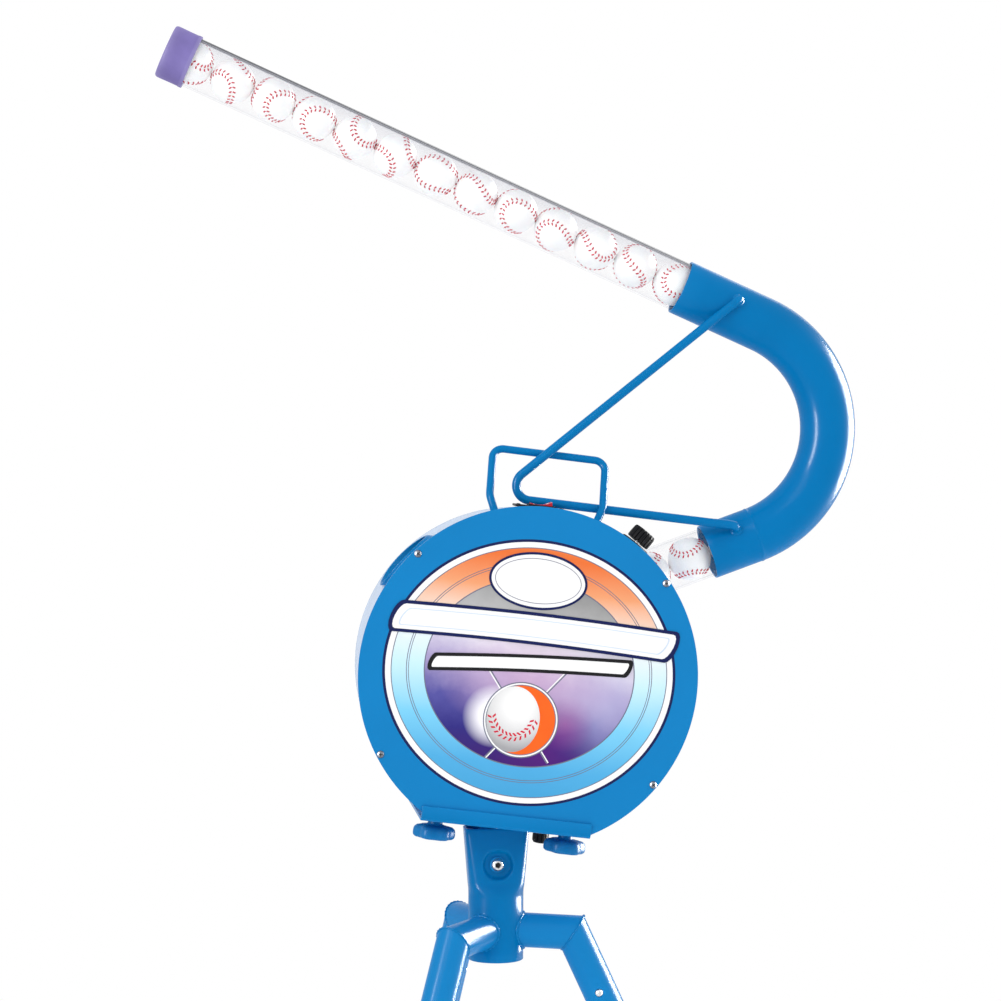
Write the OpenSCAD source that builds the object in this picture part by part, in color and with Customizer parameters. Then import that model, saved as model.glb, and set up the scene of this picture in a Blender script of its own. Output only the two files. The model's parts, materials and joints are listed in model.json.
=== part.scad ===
// Small-ball baseball pitching machine on a three-legged stand, with a gravity ball feeder.
// Origin: on the floor, in the middle of the machine's footprint box. +Z up, +X the feed side,
// -X the throwing side, -Y the decorated face. Millimetres.

/* [Stance] */
// Height of the tilt pivot above the floor
pivot_height = 827; // [700:1:950]
// Tilt of the machine head at rest, muzzle up
tilt = 7; // [-6:1:13]
// Lean of each leg from the vertical
leg_splay = 25; // [20:1:28]

/* [Drum] */
// Outer radius of the drum wall
drum_r = 147.5; // [145:0.5:150]
// Half of the drum wall's depth, front to back
drum_half = 68; // [66:1:72]
// Radius of the front plate
plate_r = 153.5; // [153:0.5:156]
// Height of the drum's axis above the tilt pivot
drum_rise = 178.5; // [176:0.5:185]

/* [Ball path] */
// Diameter of a training ball
ball_d = 40; // [38:0.5:40]
// Radius of the throwing wheel's tyre
tyre_r = 68; // [66:0.5:68]
// Squeeze between tyre and pressure pad
ball_squeeze = 1.7; // [1:0.1:2.5]

/* [Feeder] */
// Outer diameter of the feed pipe
pipe_d = 50.8; // [50:0.1:52]
// Radius of the feed pipe's bend
bend_r = 105; // [95:1:115]
// Outer diameter of the clear tubes
tube_d = 46; // [45:0.1:46]
// Length of clear tube seen between the pipe and the end cap
tube_seen = 489; // [300:1:600]
// Length of the end cap
cap_length = 26; // [20:1:40]

/* [Stand] */
// Outer diameter of the head post
post_d = 50.8; // [50:0.1:52]
// Outer diameter of the leg arms
arm_d = 31.8; // [31:0.1:33]
// Outer diameter of the legs
leg_d = 28.4; // [27:0.1:28.4]
// Distance from the post's axis to the corner of a leg arm
arm_reach = 71; // [60:1:75]

/* [Hidden] */
$fn = 64;

// Colours
machine_blue = [0.02, 0.44, 0.72];
cap_purple = [0.42, 0.38, 0.68];
clear_plastic = [0.85, 0.9, 0.95, 0.4];
off_black = [0.07, 0.07, 0.08];
steel = [0.75, 0.76, 0.78];
zinc = [0.62, 0.63, 0.66];

// General gaps: a sliding fit between moving pieces, and an easy fit between fixed ones
run_gap = 0.05;
easy_gap = 0.1;
// How far a cutting solid runs past the surface it cuts
past = 1;
// Size of a cutting block, larger than the machine head
huge = 400;
// Thickness of a slice between two shapes that are hulled
slice = 0.01;

// Drum and base heights, measured from the drum's axis
drum_wall = 2.5;
flange_r = 152.2;
flange_t = 2;
flange_inner_r = 130;
plate_t = 2;
tray_bottom = -138.5;
tray_t = 2.5;
tray_half = 77;
tray_x = -4;
tray_lip_top = -125;
tray_floor = tray_bottom + tray_t;
foot_plate_t = 5;
foot_plate_x = 72;
foot_plate_y = drum_half - 0.5;
foot_tap = 4;
foot_top = tray_floor + foot_plate_t;
plate_front = -drum_half - plate_t;
plate_rear = drum_half + plate_t;
screw_ring_front = 149.6;
screw_ring_rear = 138;
front_screw_angles = [41, 139, 214, 326];
rear_screw_angles = [45, 135, 225, 315];
screw_r = 1.95;
screw_length = 8;
screw_head_r = 3.5;
screw_head_t = 2.2;
screw_dome_r = 4.6;
screw_dome_at = 2.4;
recess_length = 3.8;
recess_width = 0.8;
recess_depth = 2;

// Oval decal on the front plate
label_half_x = 132.5;
label_half_z = 119.7;
label_rise = 3.9;
label_t = 0.4;

// Ball path: wheel, pressure pad and nozzle
ball_r = ball_d / 2;
path_height = tyre_r + ball_r;
pad_r = tyre_r + ball_d - ball_squeeze;
pad_t = 3.7;
shoe_t = 6;
shoe_half = 20;
shoe_start = 57;
shoe_end = 105;
shoe_rib_angles = [67, 97];
nozzle_end_r = 151.5;
nozzle_inner = -82;

// Feeder geometry in the plane of the ball path: [x, z] pairs from the drum's axis
bend_centre = [153, 243];
lower_angle = 27;
upper_angle = 163;
lower_straight = 46.5;
upper_straight = 84;
pipe_wall = 2;
pipe_r = pipe_d / 2;
tube_r = tube_d / 2;
tube_wall = 1.5;
lower_dir = [cos(lower_angle), sin(lower_angle)];
upper_dir = [cos(upper_angle), sin(upper_angle)];
bend_start_angle = lower_angle - 90;
bend_sweep = upper_angle - lower_angle;
bend_length = bend_r * bend_sweep * PI / 180;
bend_low = bend_centre + bend_r * [cos(bend_start_angle), sin(bend_start_angle)];
bend_high = bend_centre + bend_r * [cos(upper_angle - 90), sin(upper_angle - 90)];
lower_mouth = bend_low - lower_straight * lower_dir;
upper_mouth = bend_high + upper_straight * upper_dir;
pipe_length = lower_straight + bend_length + upper_straight;
tube_overlap = 60;
neck_overlap = 40;
neck_inner = 90;
cap_wall = 2;
cap_end = 3;
cap_recess = 1.5;
cap_start = pipe_length + tube_seen;
ball_pitch = ball_d + 0.3;
first_ball = -17.5;
ball_count = 24;

// Index wheel that lets one ball at a time down to the throwing wheel
star_at = -84.3;
star_drop = 27.5;
star_r = 17.5;
star_half = 6;
star_centre = lower_mouth + star_at * lower_dir - star_drop * [-lower_dir[1], lower_dir[0]];

// Brace rod: a V of round bar in front of the pipe
rod_r = 4;
rod_y = -28.5;
rod_low = [178, 156.5];
rod_high = [155, 363];
rod_angle = 45.7;
rod_tip_r = 13.5;
rod_corner = [rod_high[0] - (rod_high[1] - rod_low[1]) / tan(rod_angle), rod_low[1]];
rod_trim = rod_tip_r / tan(rod_angle / 2);
rod_tip = rod_corner + [rod_trim, rod_tip_r];
rod_blob_r = 4.6;
rod_weld = 1;
rod_low_foot = lower_mouth + ((rod_low - lower_mouth) * lower_dir) * lower_dir;
rod_high_foot = bend_high + ((rod_high - bend_high) * upper_dir) * upper_dir;

// Carry handle: a bail of round bar that leans back
handle_r = 3.5;
handle_top = 200;
handle_y = -18;
handle_lean = 25;
handle_half = 52;
handle_corner = 10;
handle_leg = 44;
handle_turn_r = 18;
handle_foot_turn = 20;
handle_foot = 17.5;

// Switch and speed control on the drum's top
switch_x = -6.5;
switch_y = -46;
switch_length = 47;
switch_width = 24;
switch_top = 152.5;
switch_t = 2;
housing_length = 38;
housing_width = 18;
housing_bottom = 122;
rocker_x = -5;
rocker_z = 149;
rocker_half = 9.8;
rocker_half_width = 7;
rocker_tip = -8;
rocker_pin_r = 1.4;
rocker_pin = 17.2;
rocker_horn = 7.4;
rocker_dip = 5.4;
rocker_keel = 4;
rocker_keel_half = 6;
dial_angle = 56.8;
dial_y = -45;
dial_r = 15;
dial_top = 155.5;
dial_depth = 6;
knob_r = 11.25;
knob_bottom = 157;
knob_top = 169.5;
knob_ribs = 18;
knob_rib_r = 0.9;
knob_rim = 0.5;
mark_width = 1;
mark_depth = 0.6;
mark_start = 3;
pot_r = 12;
pot_bottom = 122;
pot_top = 138;
pot_bush_r = 4.5;
pot_bore_bottom = 128;
pot_shaft_r = 3;
pot_shaft_bottom = 129;
pot_shaft_top = 165.5;

// Throwing wheel, motor and feed gearmotor along Y
tyre_half = 20;
hub_r = 50;
hub_half = 18;
shaft_r = 6;
bracket_front = 24;
bracket_back = 27;
bracket_foot_x = -50;
bracket_foot = [74, 28, 4];
motor_r = 45;
motor_back = 66;
motor_wall = 2.5;
bearing_r = 14;
bearing_t = 7;
gearbox_r = 16;
gear_shaft_r = 3;
gear_shaft_depth = 12;
gearbox_t = 20;
gearmotor_back = 63;

// Speed-control board, behind the wheel
board_x = -122;
board_y = 58;
board_z = -58;
board_width = 66;
board_height = 56;
board_t = 1.6;

// Clamp knobs under the tray
clamp_at = [-64, 56];
clamp_y = -35;
stud_r = 4;
stud_top = -132.3;
clamp_top = -146;
clamp_bottom = -158;
clamp_core_r = 17;
clamp_lobe_r = 5;
clamp_lobe_at = 14.2;
clamp_stem_r = 6.7;
clamp_gap = 0.3;
clamp_bore_from = clamp_bottom + 5;

// Cord gland under the tray
gland_x = 42;
gland_y = 27;
gland_bore = 3.6;
gland_hole_r = 6.1;
gland_stem_r = 6;
gland_hex_r = 9.5;
gland_cap_r = 7.6;
gland_bottom = -160;
gland_hex_t = 6;
gland_nut_t = 4;
gland_top = -125;

// Stand, measured from the tilt pivot
post_r = post_d / 2;
post_wall = 2.5;
post_bottom = -89;
flat_bottom = -24;
flat_top = 33;
flat_start_y = 21;
flat_end_x = 30;
flat_end_y = 15;
flat_corner = 8.5;
bolt_r = 4;
bolt_end = 27;
bolt_head_r = 6;
bolt_head_t = 4.4;
bolt_dome_r = 9;
socket_r = 2.9;
socket_floor = 1.8;
washer_r = 7.2;
washer_t = 1.6;
nut_r = 7;
nut_t = 6.5;
nut_collar_r = 5.2;
nut_collar_t = 1.6;
dimple_r = 12.5;
dimple_y = 13;
dimple_rim = 2.5;
boss_inner = 10.3;
boss_depth = 20.4;
lug_half = 10;
lug_r = 19;
arm_drop = 61;
arm_droop = 2.5;
arm_corner_z = -arm_drop - arm_reach * tan(arm_droop);
arm_wall = 1.6;
arm_length = 90;
leg_wall = 1.5;
leg_start = 15;
leg_end = 830;
foot_r = 18;
foot_start = 800;
foot_end = 880;
leg_angles = [-9, -129, 111];
button_at = 58;
button_r = 3.5;
button_hole_gap = 0.3;
button_base = 8.5;
button_flange_r = 5;
button_flange_t = 1.5;
button_shoulder = 17;
button_dome_r = 4.5;
button_dome_at = 14.2;
leg_length = (pivot_height + arm_corner_z) / cos(leg_splay);

// Place of the post, so that the origin is in the middle of the footprint box
foot_at = arm_reach + leg_length * sin(leg_splay);
foot_long = foot_r / cos(leg_splay);
function foot_edge(along, across) = foot_at * along + norm([foot_long * along, foot_r * across]);
right_reach = foot_edge(cos(leg_angles[0]), sin(leg_angles[0]));
front_reach = foot_edge(-sin(leg_angles[1]), cos(leg_angles[1]));
rear_reach = foot_edge(sin(leg_angles[2]), cos(leg_angles[2]));
cap_corner = upper_mouth + (tube_seen + cap_length) * upper_dir +
  (tube_r + cap_wall) * [-upper_dir[1], upper_dir[0]];
cap_reach = -(cap_corner[0] * cos(tilt) + (cap_corner[1] + drum_rise) * sin(tilt));
post_x = (cap_reach - right_reach) / 2;
post_y = (front_reach - rear_reach) / 2;

// ---- Frames and helpers ----

// Origin at the tilt pivot
module on_post() {
  translate([post_x, post_y, pivot_height]) children();
}

// Origin on the drum's axis, tilted with the machine head
module on_machine() {
  on_post() rotate([0, tilt, 0]) translate([0, 0, drum_rise]) children();
}

// A flat outline in X and Z, extruded from y0 to y1
module slab(y0, y1) {
  translate([0, y1, 0]) rotate([90, 0, 0]) linear_extrude(y1 - y0) children();
}

// A round bar from an [x, z] point, at an angle above +X
module bar(from, angle, length, r) {
  translate([from[0], 0, from[1]]) rotate([0, 90 - angle, 0]) cylinder(r = r, h = length);
}

// A radial frame on the drum wall: +Z points outwards at the given angle
module on_wall(angle, y) {
  translate([0, y, 0]) rotate([0, 90 - angle, 0]) children();
}

// Flat ring outline
module ring(outer, inner) {
  difference() {
    circle(outer);
    circle(inner);
  }
}

// Ring outline between two angles less than 180 degrees apart
module ring_part(outer, inner, from, to) {
  middle = (from + to) / 2;
  far = 2 * outer;
  intersection() {
    ring(outer, inner);
    polygon([
      [0, 0],
      far * [cos(from), sin(from)],
      far * [cos(middle), sin(middle)],
      far * [cos(to), sin(to)]
    ]);
  }
}

// Everything below a height, to cut the drum's flat bottom
module below(height) {
  translate([-huge, -huge / 2, height - huge]) cube([2 * huge, huge, huge]);
}

// Centre of the feed path at a distance s past the pipe's lower mouth
function bend_point(a) = bend_centre + bend_r * [cos(a), sin(a)];
function feed_point(s) =
  s < lower_straight ? lower_mouth + s * lower_dir
  : s < lower_straight + bend_length
    ? bend_point(bend_start_angle + (s - lower_straight) / bend_r * 180 / PI)
  : bend_high + (s - lower_straight - bend_length) * upper_dir;

// ---- Stand ----

// Rounded rectangle slice at a height, used to press the post's top flat
module flat_slice(height, half_x, half_y, corner) {
  translate([0, 0, height])
    linear_extrude(slice)
      for (x = [-1, 1], y = [-1, 1])
        translate([x * (half_x - corner), y * (half_y - corner)]) circle(corner, $fn = 32);
}

// Round slice with its front and back cut to flats
module round_slice(height, r, half_y) {
  translate([0, 0, height])
    linear_extrude(slice)
      intersection() {
        circle(r, $fn = 48);
        square([2 * r, 2 * half_y], center = true);
      }
}

module post_top(inset, extra) {
  hull() {
    round_slice(flat_bottom - extra, post_r - inset, flat_start_y - inset);
    flat_slice(flat_top + extra, flat_end_x - inset, flat_end_y - inset, flat_corner - inset);
  }
}

module head_post() {
  color(machine_blue) on_post() difference() {
    union() {
      difference() {
        union() {
          translate([0, 0, post_bottom]) cylinder(r = post_r, h = flat_bottom - post_bottom);
          post_top(0, 0);
        }
        translate([0, 0, post_bottom - past])
          cylinder(r = post_r - post_wall, h = flat_bottom - post_bottom + past);
        post_top(post_wall, slice);
      }
      intersection() {
        post_top(0, 0);
        for (side = [-1, 1])
          translate([0, side * (boss_inner + boss_depth / 2), 0])
            rotate([90, 0, 0]) cylinder(r = dimple_r + dimple_rim, h = boss_depth, center = true);
      }
    }
    for (side = [-1, 1])
      translate([0, side * (dimple_y + boss_depth / 2), 0])
        rotate([90, 0, 0]) cylinder(r = dimple_r, h = boss_depth, center = true);
    rotate([90, 0, 0]) cylinder(r = bolt_r + run_gap, h = huge, center = true);
  }
}

// One side of the mitre between a leg arm's stub and its socket
module mitre_side() {
  translate([arm_reach, 0, arm_corner_z])
    rotate([0, (90 - leg_splay + arm_droop) / 2, 0])
      translate([0, -huge / 2, -huge / 2]) cube(huge);
}

// Stub out of the post and socket down the leg, joined at the mitre
module arm_solid(r, length) {
  difference() {
    translate([0, 0, -arm_drop])
      rotate([0, 90 + arm_droop, 0]) cylinder(r = r, h = arm_reach + 3 * r);
    mitre_side();
  }
  intersection() {
    along_leg(-2 * r) cylinder(r = r, h = length + 2 * r);
    mitre_side();
  }
}

// Frame on a leg's axis: +Z runs down the leg from its corner
module along_leg(at) {
  translate([arm_reach, 0, arm_corner_z])
    rotate([0, 180 - leg_splay, 0])
      translate([0, 0, at]) children();
}

// Frame at the snap button: +Z points out of the leg's side
module at_button() {
  along_leg(button_at) rotate([90, 0, 0]) children();
}

module leg_arm(angle) {
  color(machine_blue) on_post() rotate([0, 0, angle]) difference() {
    arm_solid(arm_d / 2, arm_length);
    arm_solid(arm_d / 2 - arm_wall, arm_length + past);
    translate([0, 0, -huge / 2]) cylinder(r = post_r, h = huge);
    at_button() cylinder(r = button_r + button_hole_gap, h = arm_d);
  }
}

module leg(angle) {
  color(machine_blue) on_post() rotate([0, 0, angle]) difference() {
    along_leg(leg_start) cylinder(r = leg_d / 2, h = leg_end - leg_start);
    along_leg(leg_start - past) cylinder(r = leg_d / 2 - leg_wall, h = leg_end - leg_start + 2 * past);
    at_button() cylinder(r = button_r + button_hole_gap, h = arm_d);
  }
}

module foot(angle) {
  color(off_black) on_post() rotate([0, 0, angle]) difference() {
    along_leg(foot_start) cylinder(r = foot_r, h = foot_end - foot_start);
    along_leg(foot_start - past) cylinder(r = leg_d / 2, h = leg_end - foot_start + past);
    translate([0, 0, -pivot_height - huge / 2]) cube([3 * huge, huge, huge], center = true);
  }
}

module snap_button(angle) {
  color(steel) on_post() rotate([0, 0, angle]) at_button() {
    translate([0, 0, button_base]) cylinder(r = button_flange_r, h = button_flange_t);
    translate([0, 0, button_base]) cylinder(r = button_r, h = button_shoulder - button_base);
    intersection() {
      translate([0, 0, button_dome_at]) sphere(r = button_dome_r);
      translate([0, 0, button_shoulder - past]) cylinder(r = button_r, h = button_dome_r);
    }
  }
}

// Leaf spring folded inside each leg, with one arm behind the button
module button_springs() {
  spring_half = 4;
  arm_in = 2.6;
  strip = 0.8;
  wall_out = strip - leg_d / 2 + leg_wall;
  fold_at = -25;
  arm_run = 37;
  middle = (arm_in + strip + wall_out) / 2;
  fold_r = (arm_in + strip - wall_out) / 2;
  color(zinc) on_post() for (angle = leg_angles)
    rotate([0, 0, angle]) at_button()
      translate([spring_half, 0, 0]) rotate([0, -90, 0]) linear_extrude(2 * spring_half) {
        translate([arm_in, fold_at]) square([strip, arm_run]);
        translate([wall_out, fold_at]) square([strip, arm_run]);
        translate([middle, fold_at]) intersection() {
          ring(fold_r, fold_r - strip);
          translate([-fold_r, -fold_r]) square([2 * fold_r, fold_r]);
        }
      }
}

// Button-head bolt with a hexagon socket, through the post and the lug
module pivot_bolt() {
  head_at = dimple_y + washer_t;
  color(steel) on_post() rotate([90, 0, 0]) difference() {
    union() {
      translate([0, 0, -bolt_end]) cylinder(r = bolt_r, h = bolt_end + head_at);
      intersection() {
        translate([0, 0, head_at]) cylinder(r = bolt_head_r, h = bolt_head_t);
        translate([0, 0, head_at + bolt_head_t - bolt_dome_r]) sphere(r = bolt_dome_r);
      }
    }
    translate([0, 0, head_at + socket_floor]) cylinder(r = socket_r, h = bolt_head_t, $fn = 6);
  }
}

module pivot_nut() {
  color(zinc) on_post() rotate([-90, 0, 0]) difference() {
    union() {
      translate([0, 0, dimple_y + washer_t]) cylinder(r = nut_r, h = nut_t, $fn = 6);
      translate([0, 0, dimple_y + washer_t + nut_t]) cylinder(r = nut_collar_r, h = nut_collar_t);
    }
    cylinder(r = bolt_r, h = huge);
  }
}

module pivot_washers() {
  color(zinc) on_post() for (side = [-1, 1])
    translate([0, side * (dimple_y + washer_t / 2), 0])
      rotate([90, 0, 0]) linear_extrude(washer_t, center = true) ring(washer_r, bolt_r + easy_gap);
}

// ---- Base of the machine head ----

module base_tray() {
  tray_y = plate_rear + tray_t;
  color(machine_blue) on_machine() difference() {
    union() {
      translate([tray_x - tray_half, -tray_y, tray_bottom]) cube([2 * tray_half, 2 * tray_y, tray_t]);
      for (y = [-tray_y, plate_rear])
        translate([tray_x - tray_half, y, tray_bottom])
          cube([2 * tray_half, tray_t, tray_lip_top - tray_bottom]);
    }
    for (x = clamp_at)
      translate([x, clamp_y, tray_bottom - past]) cylinder(r = stud_r + clamp_gap, h = tray_t + 2 * past);
    translate([gland_x, gland_y, tray_bottom - past]) cylinder(r = gland_hole_r, h = tray_t + 2 * past);
  }
}

// Lug under the tray that turns on the pivot bolt, inside the post's flattened top
module tilt_lug() {
  color(machine_blue) on_machine() slab(-lug_half, lug_half) difference() {
    union() {
      translate([-lug_r, -drum_rise]) square([2 * lug_r, drum_rise + tray_bottom]);
      translate([0, -drum_rise]) circle(lug_r);
    }
    translate([0, -drum_rise]) circle(bolt_r + run_gap);
  }
}

// Flat plate welded under the drum, tapped for the two clamp studs
module drum_foot() {
  color(machine_blue) on_machine() difference() {
    translate([tray_x - foot_plate_x, -foot_plate_y, tray_floor])
      cube([2 * foot_plate_x, 2 * foot_plate_y, foot_plate_t]);
    for (x = clamp_at)
      translate([x, clamp_y, tray_floor - past]) cylinder(r = stud_r + run_gap, h = foot_tap + past);
    translate([gland_x, gland_y, tray_floor - past]) cylinder(r = gland_hole_r, h = foot_plate_t + 2 * past);
  }
}

// Moulded head of a clamp screw: a lobed cap on a short stem
module clamp_knob(x) {
  lobes = 6;
  color(machine_blue) on_machine() translate([x, clamp_y, 0]) difference() {
    union() {
      translate([0, 0, clamp_bottom]) linear_extrude(clamp_top - clamp_bottom) {
        circle(clamp_core_r);
        for (i = [0 : lobes - 1])
          rotate(i * 360 / lobes) translate([clamp_lobe_at, 0]) circle(clamp_lobe_r);
      }
      translate([0, 0, clamp_top])
        cylinder(r = clamp_stem_r, h = tray_bottom - clamp_gap - clamp_top);
    }
    translate([0, 0, clamp_bore_from]) cylinder(r = stud_r, h = huge);
  }
}

module clamp_stud(x) {
  color(zinc) on_machine() translate([x, clamp_y, clamp_bore_from])
    cylinder(r = stud_r, h = stud_top - clamp_bore_from);
}

// Strain relief for the supply lead, screwed through the tray and the drum's foot
module cord_gland() {
  color(off_black) on_machine() translate([gland_x, gland_y, 0]) difference() {
    union() {
      translate([0, 0, gland_bottom + past])
        cylinder(r = gland_stem_r, h = gland_top - gland_bottom - past);
      translate([0, 0, tray_bottom - gland_hex_t]) cylinder(r = gland_hex_r, h = gland_hex_t, $fn = 6);
      translate([0, 0, gland_bottom])
        cylinder(r = gland_cap_r, h = tray_bottom - gland_hex_t - gland_bottom);
      translate([0, 0, foot_top]) cylinder(r = gland_hex_r, h = gland_nut_t, $fn = 6);
    }
    translate([0, 0, gland_bottom - past]) cylinder(r = gland_bore, h = huge);
  }
}

// ---- Drum ----

// Screw positions on a ring around the drum's axis
module at_screws(radius, angles) {
  for (a = angles) translate([radius * cos(a), 0, radius * sin(a)]) children();
}

module drum_shell() {
  color(machine_blue) on_machine() difference() {
    union() {
      slab(-drum_half, drum_half) ring(drum_r, drum_r - drum_wall);
      slab(-drum_half, -drum_half + flange_t) ring(flange_r, drum_r - drum_wall);
      slab(drum_half - flange_t, drum_half) ring(drum_r, flange_inner_r);
    }
    below(foot_top);
    bar(lower_mouth, lower_angle + 180, drum_r, tube_r + easy_gap);
    bar([nozzle_inner, path_height], 180, huge, pipe_r + easy_gap);
    translate([switch_x - housing_length / 2 - easy_gap, switch_y - housing_width / 2 - easy_gap, 0])
      cube([housing_length + 2 * easy_gap, housing_width + 2 * easy_gap, huge]);
    on_wall(dial_angle, dial_y) cylinder(r = pot_bush_r + easy_gap, h = huge);
    at_screws(screw_ring_front, front_screw_angles)
      slab(-drum_half - past, -drum_half + flange_t + past) circle(screw_r + easy_gap);
    at_screws(screw_ring_rear, rear_screw_angles)
      slab(drum_half - flange_t - past, drum_half + past) circle(screw_r + easy_gap);
  }
}

module front_plate() {
  color(machine_blue) on_machine() difference() {
    slab(plate_front, -drum_half) circle(plate_r);
    below(tray_floor);
    at_screws(screw_ring_front, front_screw_angles)
      slab(plate_front - past, -drum_half + past) circle(screw_r + easy_gap);
  }
}

// Back plate with vent slots on each side of the motor
module rear_plate() {
  slot_half = 2.5;
  slot_x = 72;
  slot_run = 34;
  slot_pitch = 14;
  color(machine_blue) on_machine() difference() {
    slab(drum_half, plate_rear) circle(drum_r);
    below(tray_floor);
    at_screws(screw_ring_rear, rear_screw_angles)
      slab(drum_half - past, plate_rear + past) circle(screw_r + easy_gap);
    slab(drum_half - past, plate_rear + past)
      for (side = [-1, 1], row = [-2 : 2])
        translate([side * slot_x, row * slot_pitch]) {
          square([slot_run, 2 * slot_half], center = true);
          for (x = [-1, 1]) translate([x * slot_run / 2, 0]) circle(slot_half);
        }
  }
}

// One pan-head screw pointing along +Y, with a cross recess, its head on y = 0
module pan_screw() {
  rotate([-90, 0, 0]) difference() {
    union() {
      cylinder(r = screw_r, h = screw_length);
      intersection() {
        translate([0, 0, -screw_head_t]) cylinder(r = screw_head_r, h = screw_head_t);
        translate([0, 0, screw_dome_at]) sphere(r = screw_dome_r);
      }
    }
    translate([0, 0, -screw_head_t]) {
      cube([recess_length, recess_width, recess_depth], center = true);
      cube([recess_width, recess_length, recess_depth], center = true);
    }
  }
}

module plate_screws() {
  color(zinc) on_machine() {
    at_screws(screw_ring_front, front_screw_angles) translate([0, plate_front, 0]) pan_screw();
    at_screws(screw_ring_rear, rear_screw_angles)
      translate([0, plate_rear, 0]) rotate([0, 0, 180]) pan_screw();
  }
}

// Oval decal on the front plate
module face_label() {
  sides = 96;
  color([0.75, 0.85, 0.95]) on_machine() slab(plate_front - label_t, plate_front)
    polygon([
      for (i = [0 : sides - 1])
        [label_half_x * cos(i * 360 / sides), label_rise + label_half_z * sin(i * 360 / sides)]
    ]);
}

// Points along an arc, and a round bar swept along a path in the XZ plane
function turn(centre, radius, from, to, steps) = [
  for (i = [0 : steps])
    let (a = from + (to - from) * i / steps) centre + radius * [cos(a), sin(a)]
];
function unit(v) = v / norm(v);
function tangent(path, i) =
  i == 0 ? unit(path[1] - path[0])
  : i == len(path) - 1 ? unit(path[i] - path[i - 1])
  : unit(unit(path[i + 1] - path[i]) + unit(path[i] - path[i - 1]));
function reversed(list) = [for (i = [len(list) - 1 : -1 : 0]) list[i]];

module swept_bar(path, r, sides) {
  last = len(path) - 1;
  points = [
    for (i = [0 : last], j = [0 : sides - 1])
      let (t = tangent(path, i), b = j * 360 / sides)
        [path[i][0] - r * cos(b) * t[1], r * sin(b), path[i][1] + r * cos(b) * t[0]]
  ];
  walls = [
    for (i = [0 : last - 1], j = [0 : sides - 1])
      let (a = i * sides + j, b = i * sides + (j + 1) % sides) [a, b, b + sides, a + sides]
  ];
  start = [for (j = [sides - 1 : -1 : 0]) j];
  end = [for (j = [0 : sides - 1]) last * sides + j];
  polyhedron(points, concat([start], walls, [end]));
}

// Handle in its own leaning plane: feet, turned-in ankles, legs and rounded corners
module carry_handle() {
  bar_half = handle_half - handle_corner;
  turn_x = handle_half - handle_turn_r;
  ankle = turn([turn_x, -handle_leg], handle_turn_r, -handle_foot_turn, 0, 3);
  corner = turn([bar_half, -handle_corner], handle_corner, 0, 90, 6);
  foot_end = ankle[0] - handle_foot * [sin(handle_foot_turn), cos(handle_foot_turn)];
  half_path = concat([foot_end], ankle, corner);
  color(machine_blue) on_machine() translate([0, handle_y, handle_top]) rotate([-handle_lean, 0, 0])
    swept_bar(concat(half_path, [for (p = reversed(half_path)) [-p[0], p[1]]]), handle_r, 20);
}

module switch_body() {
  pocket_half = rocker_half + 1;
  pocket_half_y = rocker_half_width + 0.3;
  pocket_depth = 6;
  color(off_black) on_machine() difference() {
    union() {
      translate([switch_x - switch_length / 2, switch_y - switch_width / 2, switch_top - switch_t])
        cube([switch_length, switch_width, switch_t]);
      translate([switch_x - housing_length / 2, switch_y - housing_width / 2, housing_bottom])
        cube([housing_length, housing_width, switch_top - switch_t - housing_bottom]);
    }
    translate([rocker_x - pocket_half, switch_y - pocket_half_y, rocker_z - pocket_depth])
      cube([2 * pocket_half, 2 * pocket_half_y, huge]);
    translate([rocker_x, switch_y, rocker_z])
      rotate([90, 0, 0]) cylinder(r = rocker_pin_r + run_gap, h = rocker_pin + 0.5, center = true);
  }
}

module power_rocker() {
  color([0.8, 0.06, 0.1]) on_machine() translate([rocker_x, switch_y, rocker_z]) rotate([0, rocker_tip, 0]) {
    slab(-rocker_half_width, rocker_half_width)
      polygon([
        [-rocker_half, rocker_horn], [0, rocker_dip], [rocker_half, rocker_horn],
        [rocker_half, 0], [rocker_keel_half, -rocker_keel], [-rocker_keel_half, -rocker_keel],
        [-rocker_half, 0]
      ]);
    rotate([90, 0, 0]) cylinder(r = rocker_pin_r, h = rocker_pin, center = true);
  }
}

// Raised round seat for the speed knob
module dial_base() {
  color(off_black) on_machine() difference() {
    on_wall(dial_angle, dial_y) translate([0, 0, drum_r - dial_depth])
      cylinder(r = dial_r, h = dial_top - drum_r + dial_depth);
    slab(-huge / 2, huge / 2) circle(drum_r);
    on_wall(dial_angle, dial_y) cylinder(r = pot_bush_r + easy_gap, h = huge);
  }
}

module potentiometer() {
  color(zinc) on_machine() on_wall(dial_angle, dial_y) difference() {
    union() {
      translate([0, 0, pot_bottom]) cylinder(r = pot_r, h = pot_top - pot_bottom);
      translate([0, 0, pot_top]) cylinder(r = pot_bush_r, h = dial_top - pot_top);
    }
    translate([0, 0, pot_bore_bottom]) cylinder(r = pot_shaft_r + run_gap, h = huge);
  }
}

module pot_shaft() {
  color(steel) on_machine() on_wall(dial_angle, dial_y)
    translate([0, 0, pot_shaft_bottom]) cylinder(r = pot_shaft_r, h = pot_shaft_top - pot_shaft_bottom);
}

module speed_knob() {
  color(off_black) on_machine() on_wall(dial_angle, dial_y) difference() {
    translate([0, 0, knob_bottom]) cylinder(r = knob_r, h = knob_top - knob_bottom);
    for (i = [0 : knob_ribs - 1])
      rotate([0, 0, i * 360 / knob_ribs])
        translate([knob_r + easy_gap, 0, knob_bottom - past])
          cylinder(r = knob_rib_r, h = knob_top - knob_bottom + past - knob_rim);
    translate([-mark_width / 2, mark_start, knob_top - mark_depth]) cube([mark_width, knob_r, past]);
    translate([0, 0, knob_bottom - past])
      cylinder(r = pot_shaft_r, h = pot_shaft_top - knob_bottom + past);
  }
}

// ---- Ball path inside the drum ----

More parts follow.
